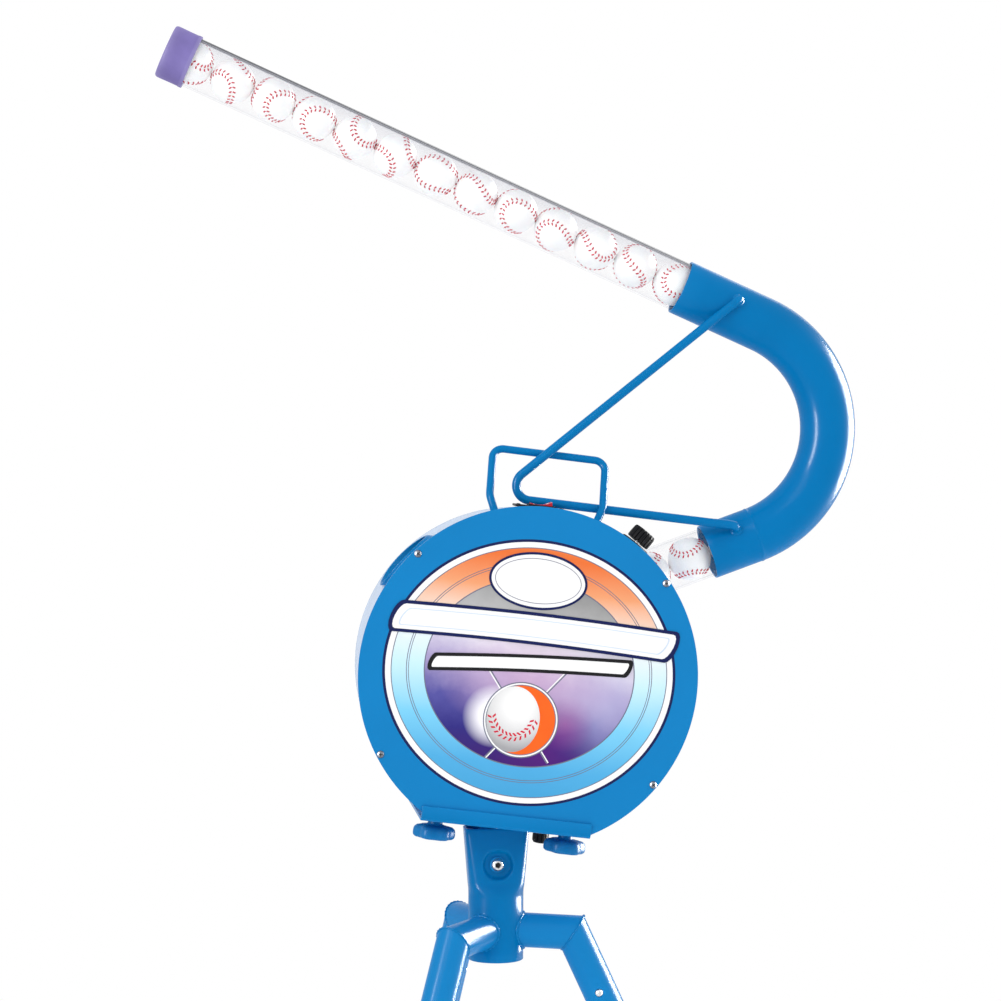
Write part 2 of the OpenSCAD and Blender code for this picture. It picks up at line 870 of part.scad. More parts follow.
// Clear neck that the feed pipe slips over; its underside is slotted for the index wheel
module inlet_neck() {
  slot_half = star_half + 1;
  slot_low = 5;
  slot_run = 32;
  color(clear_plastic) on_machine() translate([lower_mouth[0], 0, lower_mouth[1]])
    rotate([0, 90 - lower_angle, 0]) difference() {
      translate([0, 0, -neck_inner]) cylinder(r = tube_r, h = neck_inner + neck_overlap);
      translate([0, 0, -neck_inner - past])
        cylinder(r = tube_r - tube_wall, h = neck_inner + neck_overlap + 2 * past);
      translate([slot_low, -slot_half, -neck_inner - past]) cube([tube_r, 2 * slot_half, slot_run + past]);
    }
}

module exit_nozzle() {
  color(machine_blue) on_machine() difference() {
    intersection() {
      bar([nozzle_inner, path_height], 180, huge, pipe_r);
      slab(-huge / 2, huge / 2) circle(nozzle_end_r);
    }
    bar([nozzle_inner + past, path_height], 180, huge, pipe_r - pipe_wall);
  }
}

// Steel shoe above the wheel, carried from the drum wall on two ribs
module pressure_shoe() {
  rib_half = 3;
  inner = pad_r + pad_t;
  color(zinc) on_machine() slab(-shoe_half, shoe_half) {
    ring_part(inner + shoe_t, inner, shoe_start, shoe_end);
    intersection() {
      ring(drum_r - drum_wall, inner + shoe_t / 2);
      for (a = shoe_rib_angles)
        rotate(a) translate([inner, -rib_half]) square([drum_r, 2 * rib_half]);
    }
  }
}

module pressure_pad() {
  color([0.15, 0.15, 0.16]) on_machine() slab(-shoe_half, shoe_half)
    ring_part(pad_r + pad_t, pad_r, shoe_start, shoe_end);
}

module wheel_hub() {
  rim_t = 4;
  web_half = 5;
  boss_r = 14;
  holes = 6;
  hole_at = 30;
  hole_r = 9;
  color(steel) on_machine() difference() {
    union() {
      slab(-hub_half, hub_half) ring(hub_r, hub_r - rim_t);
      slab(-web_half, web_half) circle(hub_r - rim_t / 2);
      slab(-hub_half, hub_half) circle(boss_r);
    }
    slab(-huge / 2, huge / 2) circle(shaft_r);
    for (i = [0 : holes - 1])
      rotate([0, i * 360 / holes, 0]) translate([hole_at, 0, 0])
        slab(-web_half - past, web_half + past) circle(hole_r);
  }
}

module wheel_tyre() {
  shoulder = 4;
  color([0.2, 0.2, 0.21]) on_machine() rotate([90, 0, 0]) rotate_extrude() {
    translate([hub_r, -tyre_half]) square([tyre_r - shoulder - hub_r, 2 * tyre_half]);
    translate([hub_r, shoulder - tyre_half]) square([tyre_r - hub_r, 2 * (tyre_half - shoulder)]);
    for (side = [-1, 1])
      translate([tyre_r - shoulder, side * (tyre_half - shoulder)]) circle(shoulder);
  }
}

module motor_shaft() {
  color(steel) on_machine() slab(-hub_half, motor_back - motor_wall - 0.5) circle(shaft_r);
}

// Bearing faces inside the motor's two ends
bearing_front = bracket_back + motor_wall;
bearing_rear = motor_back - motor_wall - bearing_t;
rotor_end_gap = 2.5;
rotor_front = bearing_front + bearing_t + rotor_end_gap;
rotor_rear = bearing_rear - rotor_end_gap;
rotor_r = 31;
magnet_inner_r = 32.5;

module motor_armature() {
  slots = 12;
  slot_floor = 26;
  slot_half = 1;
  color([0.7, 0.42, 0.2]) on_machine() slab(rotor_front, rotor_rear) difference() {
    circle(rotor_r);
    circle(shaft_r);
    for (i = [0 : slots - 1])
      rotate(i * 360 / slots) translate([slot_floor, -slot_half]) square([rotor_r, 2 * slot_half]);
  }
}

module motor_bearings() {
  color(steel) on_machine() for (y = [bearing_front, bearing_rear])
    slab(y, y + bearing_t) ring(bearing_r, shaft_r + run_gap);
}

module motor_magnets() {
  magnet_half = 65;
  color([0.25, 0.25, 0.27]) on_machine() slab(rotor_front, rotor_rear)
    for (a = [0, 180]) ring_part(motor_r - motor_wall, magnet_inner_r, a - magnet_half, a + magnet_half);
}

// Motor can with a seat for a bearing in each end
module motor_housing() {
  cavity_r = motor_r - motor_wall;
  seat_t = 3;
  color([0.3, 0.31, 0.33]) on_machine() difference() {
    union() {
      difference() {
        slab(bracket_back, motor_back) circle(motor_r);
        slab(bearing_front, motor_back - motor_wall) circle(cavity_r);
      }
      for (y = [bearing_front, bearing_rear])
        slab(y, y + bearing_t) ring(bearing_r + seat_t, bearing_r);
    }
    slab(bracket_back - past, bearing_front + past) circle(shaft_r + 2);
  }
}

// Upright plate inside the drum that carries the motor and the feed gearmotor
module motor_bracket() {
  color(zinc) on_machine() difference() {
    union() {
      slab(bracket_front, bracket_back)
        polygon([
          [-52, foot_top], [30, foot_top], [58, -60], [60, 0], [118, 50], [121, 74],
          [104, 90], [82, 88], [40, 56], [-40, 56], [-58, 20], [-58, -60]
        ]);
      translate([bracket_foot_x, bracket_front, foot_top]) cube(bracket_foot);
    }
    slab(bracket_front - past, bracket_back + past) circle(shaft_r + 3);
    slab(bracket_front - past, bracket_back + past)
      translate(star_centre) circle(gear_shaft_r + 1);
  }
}

// Four-armed index wheel
module feed_star() {
  arm_half = 2.5;
  star_hub_r = 6;
  color([0.9, 0.9, 0.88]) on_machine() slab(-star_half, star_half)
    translate(star_centre) rotate(lower_angle) difference() {
      union() {
        circle(star_hub_r);
        square([2 * star_r, 2 * arm_half], center = true);
        square([2 * arm_half, 2 * star_r], center = true);
      }
      circle(gear_shaft_r);
    }
}

module feed_shaft() {
  color(steel) on_machine() slab(-star_half, bracket_back + gear_shaft_depth)
    translate(star_centre) circle(gear_shaft_r);
}

module feed_gearmotor() {
  color([0.45, 0.46, 0.5]) on_machine() difference() {
    union() {
      slab(bracket_back, bracket_back + gearbox_t) translate(star_centre) circle(gearbox_r);
      slab(bracket_back + gearbox_t, gearmotor_back) translate(star_centre) circle(gearbox_r - 2);
    }
    slab(bracket_back - past, bracket_back + gear_shaft_depth + past)
      translate(star_centre) circle(gear_shaft_r + run_gap);
  }
}

// Speed-control board with its heat sink, relay and capacitors
module control_board() {
  relay = [24, 16, 14];
  transformer = [22, 10, 16];
  fin = [1.6, 18, 24];
  fins = 6;
  fin_pitch = 4;
  capacitor_r = 5;
  capacitor_h = 16;
  color([0.05, 0.35, 0.18]) on_machine() translate([board_x, board_y, board_z]) {
    cube([board_width, board_t, board_height]);
    translate([4, -relay[1], 38]) cube(relay);
    translate([34, -transformer[1], 34]) cube(transformer);
    for (i = [0 : fins - 1]) translate([6 + i * fin_pitch, -fin[1], 6]) cube(fin);
    for (x = [38, 52]) translate([x, 0, 14]) rotate([90, 0, 0]) cylinder(r = capacitor_r, h = capacitor_h);
  }
}

module board_standoffs() {
  standoff_r = 2.5;
  board_back = board_y + board_t;
  color(zinc) on_machine() for (x = [-112, -60], z = [-54, -6])
    translate([x, board_back, z]) rotate([-90, 0, 0]) cylinder(r = standoff_r, h = drum_half - board_back);
}

// ---- Feeder ----

// Bend and upper straight of the feed pipe
module feed_pipe() {
  wall_inner = pipe_r - pipe_wall;
  color(machine_blue) on_machine() {
    translate([bend_centre[0], 0, bend_centre[1]]) rotate([90, 0, 0]) rotate([0, 0, bend_start_angle])
      rotate_extrude(angle = bend_sweep) translate([bend_r, 0]) ring(pipe_r, wall_inner);
    difference() {
      bar(bend_high, upper_angle, upper_straight, pipe_r);
      bar(bend_high - past * upper_dir, upper_angle, upper_straight + 2 * past, wall_inner);
    }
  }
}

// Straight sleeve welded to the lower end of the bend, which slips over the neck
module pipe_sleeve() {
  color(machine_blue) on_machine() difference() {
    bar(lower_mouth, lower_angle, lower_straight, pipe_r);
    bar(lower_mouth - past * lower_dir, lower_angle, lower_straight + 2 * past, pipe_r - pipe_wall);
  }
}

// A welded end of the brace rod: a blob on the rod and a peg towards the pipe's axis
module rod_end(end, foot) {
  reach = [foot[0] - end[0], -rod_y, foot[1] - end[1]];
  translate([end[0], rod_y, end[1]]) {
    sphere(r = rod_blob_r);
    rotate([0, acos(reach[2] / norm(reach)), atan2(reach[1], reach[0])])
      cylinder(r = rod_r, h = norm(reach) - pipe_r + rod_weld);
  }
}

module brace_rod() {
  tip = turn(rod_tip, rod_tip_r, 270, 90 + rod_angle, 12);
  color(machine_blue) on_machine() {
    translate([0, rod_y, 0]) swept_bar(concat([rod_low], tip, [rod_high]), rod_r, 20);
    rod_end(rod_low, rod_low_foot);
    rod_end(rod_high, rod_high_foot);
  }
}

module ball_tube() {
  start = feed_point(pipe_length - tube_overlap);
  length = tube_overlap + tube_seen + cap_length - cap_end - cap_recess;
  color(clear_plastic) on_machine() difference() {
    bar(start, upper_angle, length, tube_r);
    bar(start - past * upper_dir, upper_angle, length + 2 * past, tube_r - tube_wall);
  }
}

module balls() {
  color([0.95, 0.95, 0.95]) on_machine() for (i = [-1 : ball_count - 2]) {
    at = feed_point(first_ball + i * ball_pitch);
    translate([at[0], 0, at[1]]) sphere(r = ball_r);
  }
}

module end_cap() {
  start = feed_point(cap_start);
  floor_at = cap_length - cap_end - cap_recess;
  color(cap_purple) on_machine() difference() {
    bar(start, upper_angle, cap_length, tube_r + cap_wall);
    bar(start - past * upper_dir, upper_angle, floor_at + past, tube_r + run_gap);
    bar(start + (cap_length - cap_recess) * upper_dir, upper_angle, cap_recess + past, tube_r - 1);
  }
}

// ---- Show ----

head_post();
leg_arm(leg_angles[0]);  // leg_arm_right
leg_arm(leg_angles[1]);  // leg_arm_front
leg_arm(leg_angles[2]);  // leg_arm_rear
leg(leg_angles[0]);  // leg_right
leg(leg_angles[1]);  // leg_front
leg(leg_angles[2]);  // leg_rear
foot(leg_angles[0]);  // foot_right
foot(leg_angles[1]);  // foot_front
foot(leg_angles[2]);  // foot_rear
snap_button(leg_angles[0]);  // snap_button_right
snap_button(leg_angles[1]);  // snap_button_front
snap_button(leg_angles[2]);  // snap_button_rear
button_springs();
pivot_bolt();
pivot_nut();
pivot_washers();
base_tray();
tilt_lug();
drum_foot();
drum_shell();
front_plate();
rear_plate();
plate_screws();
face_label();
carry_handle();
switch_body();
power_rocker();
dial_base();
potentiometer();
pot_shaft();
speed_knob();
clamp_knob(clamp_at[0]);  // left_clamp_knob
clamp_stud(clamp_at[0]);  // left_clamp_stud
clamp_knob(clamp_at[1]);  // right_clamp_knob
clamp_stud(clamp_at[1]);  // right_clamp_stud
inlet_neck();
exit_nozzle();
pressure_shoe();
pressure_pad();
wheel_hub();
wheel_tyre();
motor_shaft();
motor_armature();
motor_bearings();
motor_magnets();
motor_housing();
motor_bracket();
feed_star();
feed_shaft();
feed_gearmotor();
control_board();
board_standoffs();
cord_gland();
feed_pipe();
pipe_sleeve();
brace_rod();
ball_tube();
balls();
end_cap();
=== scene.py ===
import json
import math
import random
import bmesh
import bpy
from mathutils import Matrix, Vector


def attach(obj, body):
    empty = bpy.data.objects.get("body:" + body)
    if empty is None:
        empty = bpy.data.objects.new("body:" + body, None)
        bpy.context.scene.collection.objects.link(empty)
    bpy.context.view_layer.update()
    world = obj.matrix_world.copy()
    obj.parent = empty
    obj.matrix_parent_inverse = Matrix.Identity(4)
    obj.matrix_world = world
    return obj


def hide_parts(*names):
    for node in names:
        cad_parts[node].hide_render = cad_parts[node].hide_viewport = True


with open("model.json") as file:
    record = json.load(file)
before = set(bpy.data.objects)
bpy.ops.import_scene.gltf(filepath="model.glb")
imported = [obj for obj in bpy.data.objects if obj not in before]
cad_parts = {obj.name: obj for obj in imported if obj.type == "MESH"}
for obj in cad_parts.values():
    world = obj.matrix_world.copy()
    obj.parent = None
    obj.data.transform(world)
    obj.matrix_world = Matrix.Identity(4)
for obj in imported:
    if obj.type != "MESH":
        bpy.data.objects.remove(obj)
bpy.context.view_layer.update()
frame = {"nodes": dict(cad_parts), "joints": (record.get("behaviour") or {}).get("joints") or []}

# ---- Frames. Shapes are made in millimetres, then placed in the row frame ----
JOINTS = {j["name"]: j for j in frame["joints"]}
PIVOT = Vector(JOINTS["tilt_pivot"]["pos_m"])
DRUM = Vector(JOINTS["wheel_spin"]["pos_m"])
TILT = math.atan2(DRUM.x - PIVOT.x, DRUM.z - PIVOT.z)
MM = Matrix.Scale(0.001, 4)
HEAD = Matrix.Translation(DRUM) @ Matrix.Rotation(TILT, 4, "Y") @ MM
STAND = Matrix.Translation(PIVOT) @ MM
TURN = 2 * math.pi


def rad(degrees):
    return math.radians(degrees)


def aim(origin, direction, up=(0, 1, 0)):
    """A frame at origin whose +Z points along direction."""
    z = Vector(direction).normalized()
    x = Vector(up).cross(z)
    if x.length < 1e-6:
        x = Vector((1, 0, 0)).cross(z)
    x.normalize()
    turned = Matrix((x, z.cross(x), z)).transposed().to_4x4()
    return Matrix.Translation(origin) @ turned


def link(ob):
    bpy.context.scene.collection.objects.link(ob)
    return ob


# ---- Mesh makers ----
def to_mesh(name, bm):
    mesh = bpy.data.meshes.new(name)
    bm.to_mesh(mesh)
    bm.free()
    return mesh


def circle(where, r, z, steps=72):
    """A ring of points round +Z at height z."""
    angles = [i * TURN / steps for i in range(steps)]
    return [where @ Vector((r * math.cos(a), r * math.sin(a), z)) for a in angles]


def skin(bm, rings, loop=False, mat=0):
    """Quads between rings of points. A ring of one point closes an end, and an open end gets a flat cap."""
    made = [[bm.verts.new(p) for p in ring] for ring in rings]
    pairs = list(zip(made, made[1:])) + ([(made[-1], made[0])] if loop else [])
    for a, b in pairs:
        count = max(len(a), len(b))
        for i in range(count):
            j = (i + 1) % count
            if len(a) == 1:
                corners = (a[0], b[i], b[j])
            elif len(b) == 1:
                corners = (a[i], b[0], a[j])
            else:
                corners = (a[i], b[i], b[j], a[j])
            bm.faces.new(corners).material_index = mat
    if not loop:
        for ring in (made[0], made[-1]):
            if len(ring) > 2:
                bm.faces.new(ring).material_index = mat


def lathe(bm, where, profile, steps=64, loop=False, mat=0, wave=None):
    """Turns (radius, height) points about +Z. wave(angle, radius, height) gives another radius."""
    rings = []
    for r, z in profile:
        if r == 0:
            rings.append([where @ Vector((0, 0, z))])
            continue
        ring = []
        for i in range(steps):
            a = i * TURN / steps
            rr = wave(a, r, z) if wave else r
            ring.append(where @ Vector((rr * math.cos(a), rr * math.sin(a), z)))
        rings.append(ring)
    skin(bm, rings, loop, mat)


def sweep(bm, where, path, radii, sides=20, closed=False, mat=0):
    """A round bar along a path."""
    path = [Vector(p) for p in path]
    count = len(path)
    if not isinstance(radii, (list, tuple)):
        radii = [radii] * count
    across, rings = None, []
    for i, p in enumerate(path):
        if closed:
            t = path[(i + 1) % count] - path[i - 1]
        else:
            t = path[min(i + 1, count - 1)] - path[max(i - 1, 0)]
        t.normalize()
        if across is None:
            across = Vector((0, 1, 0)) if abs(t.y) < 0.9 else Vector((1, 0, 0))
        across = (across - t * across.dot(t)).normalized()
        other = t.cross(across)
        ring = []
        for j in range(sides):
            a = j * TURN / sides
            ring.append(where @ (p + radii[i] * (across * math.cos(a) + other * math.sin(a))))
        rings.append(ring)
    skin(bm, rings, closed, mat)


def round_edges(bm, edges, width, segments):
    bmesh.ops.bevel(
        bm, geom=edges, offset=width, offset_type="OFFSET", segments=segments,
        profile=0.5, affect="EDGES", clamp_overlap=True,
    )


def edges_across(part, axis):
    """The edges at right angles to an axis: 0 for X, 1 for Y."""
    return [e for e in part.edges if abs(e.verts[0].co[axis] - e.verts[1].co[axis]) < 1e-6]


def block(bm, where, size, width=0.5, segments=2, mat=0):
    """A box with rounded edges, centred on where, in millimetres."""
    part = bmesh.new()
    bmesh.ops.create_cube(part, size=1, matrix=Matrix.Diagonal((*size, 1)))
    round_edges(part, part.edges[:], width, segments)
    join(bm, part, where, mat)


def slab(bm, where, outline, y0, y1, width=0.5, segments=2, mat=0):
    """An [x, z] outline extruded from y0 to y1, with rounded edges."""
    part = bmesh.new()
    skin(part, [[(x, y, z) for x, z in outline] for y in (y0, y1)])
    if width > 0:
        round_edges(part, edges_across(part, 1), width, segments)
    join(bm, part, where, mat)


def join(bm, part, where, mat):
    for f in part.faces:
        f.material_index = mat
    part.transform(where)
    mesh = to_mesh("part", part)
    bm.from_mesh(mesh)
    bpy.data.meshes.remove(mesh)


def piece(name, body, bm, materials, replaces=(), sharp=38):
    """Makes the bmesh an object that rides on a body. Its points are already in the row frame."""
    bmesh.ops.recalc_face_normals(bm, faces=bm.faces)
    mesh = to_mesh(name, bm)
    mesh.shade_smooth()
    mesh.set_sharp_from_angle(angle=rad(sharp))
    for m in materials:
        mesh.materials.append(m)
    ob = link(bpy.data.objects.new(name, mesh))
    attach(ob, body)
    if replaces:
        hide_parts(*replaces)
    return ob


# ---- Materials ----
def tint(colour, share):
    return tuple(min(1.0, c * share) for c in colour[:3]) + (1.0,)


class Nodes:
    """A short way to write a node tree."""

    def __init__(self, name):
        self.mat = bpy.data.materials.new(name)
        self.mat.use_nodes = True
        self.tree = self.mat.node_tree
        self.shader = self.tree.nodes["Principled BSDF"]
        self.out = self.tree.nodes["Material Output"]
        self.place = self.add("ShaderNodeTexCoord").outputs["Object"]

    def add(self, kind, **values):
        node = self.tree.nodes.new(kind)
        for key, value in values.items():
            if key in node.inputs:
                self.put(node.inputs[key], value)
            else:
                setattr(node, key, value)
        return node

    def put(self, socket, value):
        if isinstance(value, bpy.types.NodeSocket):
            self.tree.links.new(value, socket)
        else:
            socket.default_value = value

    def noise(self, scale, detail=3.0, rough=0.5, place=None):
        node = self.add("ShaderNodeTexNoise", Scale=scale, Detail=detail, Roughness=rough)
        self.put(node.inputs["Vector"], place or self.place)
        return node.outputs["Fac"]

    def ramp(self, factor, stops):
        node = self.add("ShaderNodeValToRGB")
        self.put(node.inputs["Fac"], factor)
        elements = node.color_ramp.elements
        while len(elements) < len(stops):
            elements.new(0.5)
        for element, (at, colour) in zip(elements, stops):
            element.position = at
            element.color = (*colour[:3], 1.0)
        return node.outputs["Color"]

    def spread(self, factor, low, high, start=0.0, end=1.0):
        node = self.add("ShaderNodeMapRange")
        self.put(node.inputs["Value"], factor)
        self.put(node.inputs["From Min"], start)
        self.put(node.inputs["From Max"], end)
        self.put(node.inputs["To Min"], low)
        self.put(node.inputs["To Max"], high)
        return node.outputs["Result"]

    def math(self, operation, a, b=0.0, clamp=False):
        node = self.add("ShaderNodeMath", operation=operation, use_clamp=clamp)
        self.put(node.inputs[0], a)
        self.put(node.inputs[1], b)
        return node.outputs[0]

    def vector(self, operation, a, b=None):
        node = self.add("ShaderNodeVectorMath", operation=operation)
        self.put(node.inputs[0], a)
        if b is not None:
            self.put(node.inputs[1], b)
        return node

    def blend(self, share, first, second):
        """Shows the second shader by share, and the first one elsewhere."""
        node = self.add("ShaderNodeMixShader")
        for socket, value in zip(node.inputs, (share, first, second)):
            self.put(socket, value)
        self.put(self.out.inputs["Surface"], node.outputs[0])

    def mix(self, factor, a, b):
        node = self.add("ShaderNodeMix", data_type="RGBA")
        self.put(node.inputs["Factor"], factor)
        self.put(node.inputs[6], a)
        self.put(node.inputs[7], b)
        return node.outputs[2]

    def bump(self, height, strength, distance=0.0003):
        node = self.add("ShaderNodeBump", Strength=strength, Distance=distance)
        self.put(node.inputs["Height"], height)
        self.put(self.shader.inputs["Normal"], node.outputs["Normal"])

    def set(self, **values):
        for key, value in values.items():
            self.put(self.shader.inputs[key.replace("_", " ")], value)


def surface(name, colour, rough=0.4, vary=0.06, patch=14, grain=900, bump=0.08,
            metal=0.0, coat=0.0, wear=0.0, spread=0.08):
    """A general finish: patches of differing colour and roughness, a fine grain, and lighter edges."""
    n = Nodes(name)
    patches = n.noise(patch, 4)
    fine = n.noise(grain, 2)
    base = n.ramp(patches, [(0.3, tint(colour, 1 - vary)), (0.7, tint(colour, 1 + vary))])
    if wear > 0:
        edge = n.add("ShaderNodeNewGeometry").outputs["Pointiness"]
        share = n.spread(edge, 0.0, wear, 0.505, 0.56)
        base = n.mix(share, base, tint([c + 0.25 for c in colour[:3]], 1))
    n.set(Base_Color=base, Metallic=metal, Specular_IOR_Level=0.06)
    n.set(Coat_Weight=coat, Coat_Roughness=0.12)
    n.set(Roughness=n.spread(n.noise(patch * 6, 2), rough - spread, rough + spread))
    n.bump(fine, bump)
    return n.mat


def brushed(name, colour, rough=0.3, along=(1, 1, 40), bump=0.06):
    """Metal with fine marks in one direction."""
    n = Nodes(name)
    scaled = n.add("ShaderNodeMapping")
    scaled.inputs["Scale"].default_value = along
    n.put(scaled.inputs["Vector"], n.place)
    marks = n.noise(220, 3, 0.6, scaled.outputs["Vector"])
    base = n.ramp(marks, [(0.25, tint(colour, 0.82)), (0.75, tint(colour, 1.1))])
    n.set(Base_Color=base, Metallic=1.0)
    n.set(Roughness=n.spread(marks, rough - 0.08, rough + 0.12))
    n.bump(marks, bump, 0.0001)
    return n.mat


def powder_coat(name, colour):
    """Gloss powder coat: orange peel, faint cloudiness and a clear layer."""
    n = Nodes(name)
    cloud = n.noise(9, 4)
    base = n.ramp(cloud, [(0.3, tint(colour, 0.93)), (0.7, tint(colour, 1.07))])
    edge = n.add("ShaderNodeNewGeometry").outputs["Pointiness"]
    base = n.mix(n.spread(edge, 0.0, 0.35, 0.51, 0.6), base, tint((0.02, 0.28, 0.66), 1))
    peel = n.add("ShaderNodeTexVoronoi", feature="SMOOTH_F1", Scale=380.0)
    n.put(peel.inputs["Vector"], n.place)
    n.set(Base_Color=base, IOR=1.45, Specular_IOR_Level=0.05)
    n.set(Coat_Weight=0.03, Coat_Roughness=0.12)
    n.set(Roughness=n.spread(n.noise(40, 3), 0.2, 0.28))
    n.bump(peel.outputs["Distance"], 0.03, 0.0002)
    return n.mat


def clear_wall(name, axis=None, up=None):
    """Thin clear plastic, see-through face on. Given its axis, it has painted shade: a dark line along its
    top edge and a greyer top side.
    """
    n = Nodes(name)
    facing = n.add("ShaderNodeLayerWeight", Blend=0.5).outputs["Facing"]
    scuffs = n.noise(60, 5, 0.7)
    edge = n.math("MULTIPLY", n.math("POWER", facing, 4.0), 0.3)
    share = n.math("ADD", edge, n.spread(scuffs, 0.0, 0.06))
    colour = (0.66, 0.67, 0.74, 1)
    if axis:
        out = n.vector("SUBTRACT", n.place, axis).outputs[0]
        height = n.vector("DOT_PRODUCT", out, up).outputs["Value"]
        # painted shade: above the axis the wall turns greyer, and near its top silhouette it turns near black
        top = n.spread(height, 0.0, 1.0, 0.004, 0.018)
        line = n.math("MULTIPLY", top, n.spread(facing, 0.0, 1.0, 0.54, 0.68))
        colour = n.mix(line, colour, (0.03, 0.034, 0.05, 1))
        share = n.math("ADD", share, n.math("MULTIPLY", top, 0.12))
        share = n.math("ADD", share, n.math("MULTIPLY", line, 0.8), True)
    n.set(Base_Color=colour, IOR=1.49, Specular_IOR_Level=0.1)
    n.set(Roughness=n.spread(scuffs, 0.04, 0.14))
    n.bump(n.noise(25, 2), 0.03, 0.0004)
    n.blend(share, n.add("ShaderNodeBsdfTransparent").outputs[0], n.shader.outputs[0])
    return n.mat


BLUE = powder_coat("powder_coat_blue", (0.0, 0.165, 0.43))
SLATE = surface("drum_wall_paint", (0.50, 0.60, 0.76), 0.42, 0.05, grain=1200, bump=0.04, coat=0.1)
MOULDED = surface("moulded_blue", (0.0, 0.155, 0.42), 0.38, 0.08, grain=1600, bump=0.08, wear=0.06)
BLACK = surface("black_plastic", (0.004, 0.004, 0.006), 0.4, 0.2, grain=2600, bump=0.22, wear=0.07)
RED = surface("red_plastic", (0.62, 0.012, 0.03), 0.28, 0.08, grain=1800, bump=0.05, coat=0.3)
PURPLE = surface("purple_vinyl", (0.19, 0.155, 0.40), 0.48, 0.12, 40, 1400, 0.14, wear=0.3)
RUBBER = surface("foot_rubber", (0.02, 0.02, 0.021), 0.75, 0.25, 30, 1200, 0.3, wear=0.1)
TYRE = surface("tyre_rubber", (0.03, 0.03, 0.032), 0.7, 0.2, 24, 800, 0.35)
PAD = surface("pad_rubber", (0.035, 0.035, 0.038), 0.8, 0.2, 30, 700, 0.4)
ZINC = brushed("zinc_plate", (0.56, 0.57, 0.6), 0.34)
DULL = brushed("dull_zinc", (0.2, 0.21, 0.24), 0.38)
STEEL = brushed("bright_steel", (0.66, 0.67, 0.69), 0.24, (40, 40, 1))
ALUMINIUM = brushed("turned_aluminium", (0.62, 0.63, 0.66), 0.32, (20, 1, 20))
NYLON = surface("white_nylon", (0.78, 0.78, 0.74), 0.45, 0.04, 30, 1500, 0.08)
COPPER = brushed("copper_winding", (0.62, 0.26, 0.1), 0.4, (1, 60, 1), 0.3)
FERRITE = surface("magnet_ferrite", (0.06, 0.06, 0.065), 0.6, 0.2, 60, 1500, 0.2)
MOTOR = surface("motor_paint", (0.05, 0.05, 0.056), 0.4, 0.15, 20, 1100, 0.12, coat=0.2)
BOARD = surface("board_green", (0.012, 0.13, 0.06), 0.35, 0.15, 80, 2000, 0.1, coat=0.4)
CLEAR = clear_wall("clear_plastic")
THREAD = surface("red_thread", (0.56, 0.004, 0.03), 0.7, 0.2, 400, 3000, 0.4)
WHITE_MARK = surface("white_mark", (0.8, 0.8, 0.8), 0.5, 0.04, grain=1500)
# near-black painted shade for the insides of the screw recesses and the bolt's hexagon socket
RECESS_SHADE = surface("recess_painted_shade", (0.02, 0.02, 0.022), 0.6, 0.1, grain=2000)


def ball_skin():
    """White ball cover: a fine pebbled grain, slightly soft."""
    n = Nodes("ball_cover")
    pebble = n.add("ShaderNodeTexVoronoi", feature="F1", Scale=1500.0)
    n.put(pebble.inputs["Vector"], n.place)
    base = n.ramp(n.noise(60, 4), [(0.3, (0.93, 0.94, 0.945)), (0.7, (0.98, 0.985, 0.98))])
    n.set(Base_Color=base, Subsurface_Weight=0.08, Specular_IOR_Level=0.3)
    n.set(Roughness=n.spread(n.noise(120, 2), 0.42, 0.58))
    n.bump(pebble.outputs["Distance"], 0.15, 0.0002)
    return n.mat


COVER = ball_skin()

# ---- Plain CAD nodes: finish, and the width of the rounding on their edges in millimetres ----
FINISH = {
    "leg_arm_right": (BLUE, 0.5), "leg_arm_front": (BLUE, 0.5), "leg_arm_rear": (BLUE, 0.5),
    "leg_right": (BLUE, 0.4), "leg_front": (BLUE, 0.4), "leg_rear": (BLUE, 0.4),
    "button_springs": (ZINC, 0.1), "pivot_nut": (ZINC, 0.4), "pivot_washers": (BLUE, 0.2),
    "tilt_lug": (BLUE, 0.8), "drum_foot": (BLUE, 0.6), "drum_shell": (SLATE, 0.3),
    "rear_plate": (BLUE, 0.5), "potentiometer": (ZINC, 0.3), "pot_shaft": (STEEL, 0.2),
    "left_clamp_stud": (ZINC, 0.3), "right_clamp_stud": (ZINC, 0.3),
    "pressure_shoe": (ZINC, 0.4), "pressure_pad": (PAD, 0.4),
    "wheel_hub": (ALUMINIUM, 0.5), "wheel_tyre": (TYRE, 0.0), "motor_shaft": (STEEL, 0.4),
    "motor_armature": (COPPER, 0.2), "motor_bearings": (STEEL, 0.3),
    "motor_magnets": (FERRITE, 0.3), "motor_housing": (MOTOR, 0.5),
    "motor_bracket": (ZINC, 0.3), "feed_star": (NYLON, 0.4), "feed_shaft": (STEEL, 0.3),
    "feed_gearmotor": (MOTOR, 0.6), "control_board": (BOARD, 0.15), "board_standoffs": (ZINC, 0.2),
    "inlet_neck": (CLEAR, 0.0), "ball_tube": (CLEAR, 0.0),
}
for node, (mat, width) in FINISH.items():
    ob = frame["nodes"][node]
    ob.data.materials.clear()
    ob.data.materials.append(mat)
    if width > 0:
        rounding = ob.modifiers.new("rounding", "BEVEL")
        rounding.width = width * 0.001
        rounding.segments = 2
        rounding.limit_method = "ANGLE"
        rounding.angle_limit = rad(40)

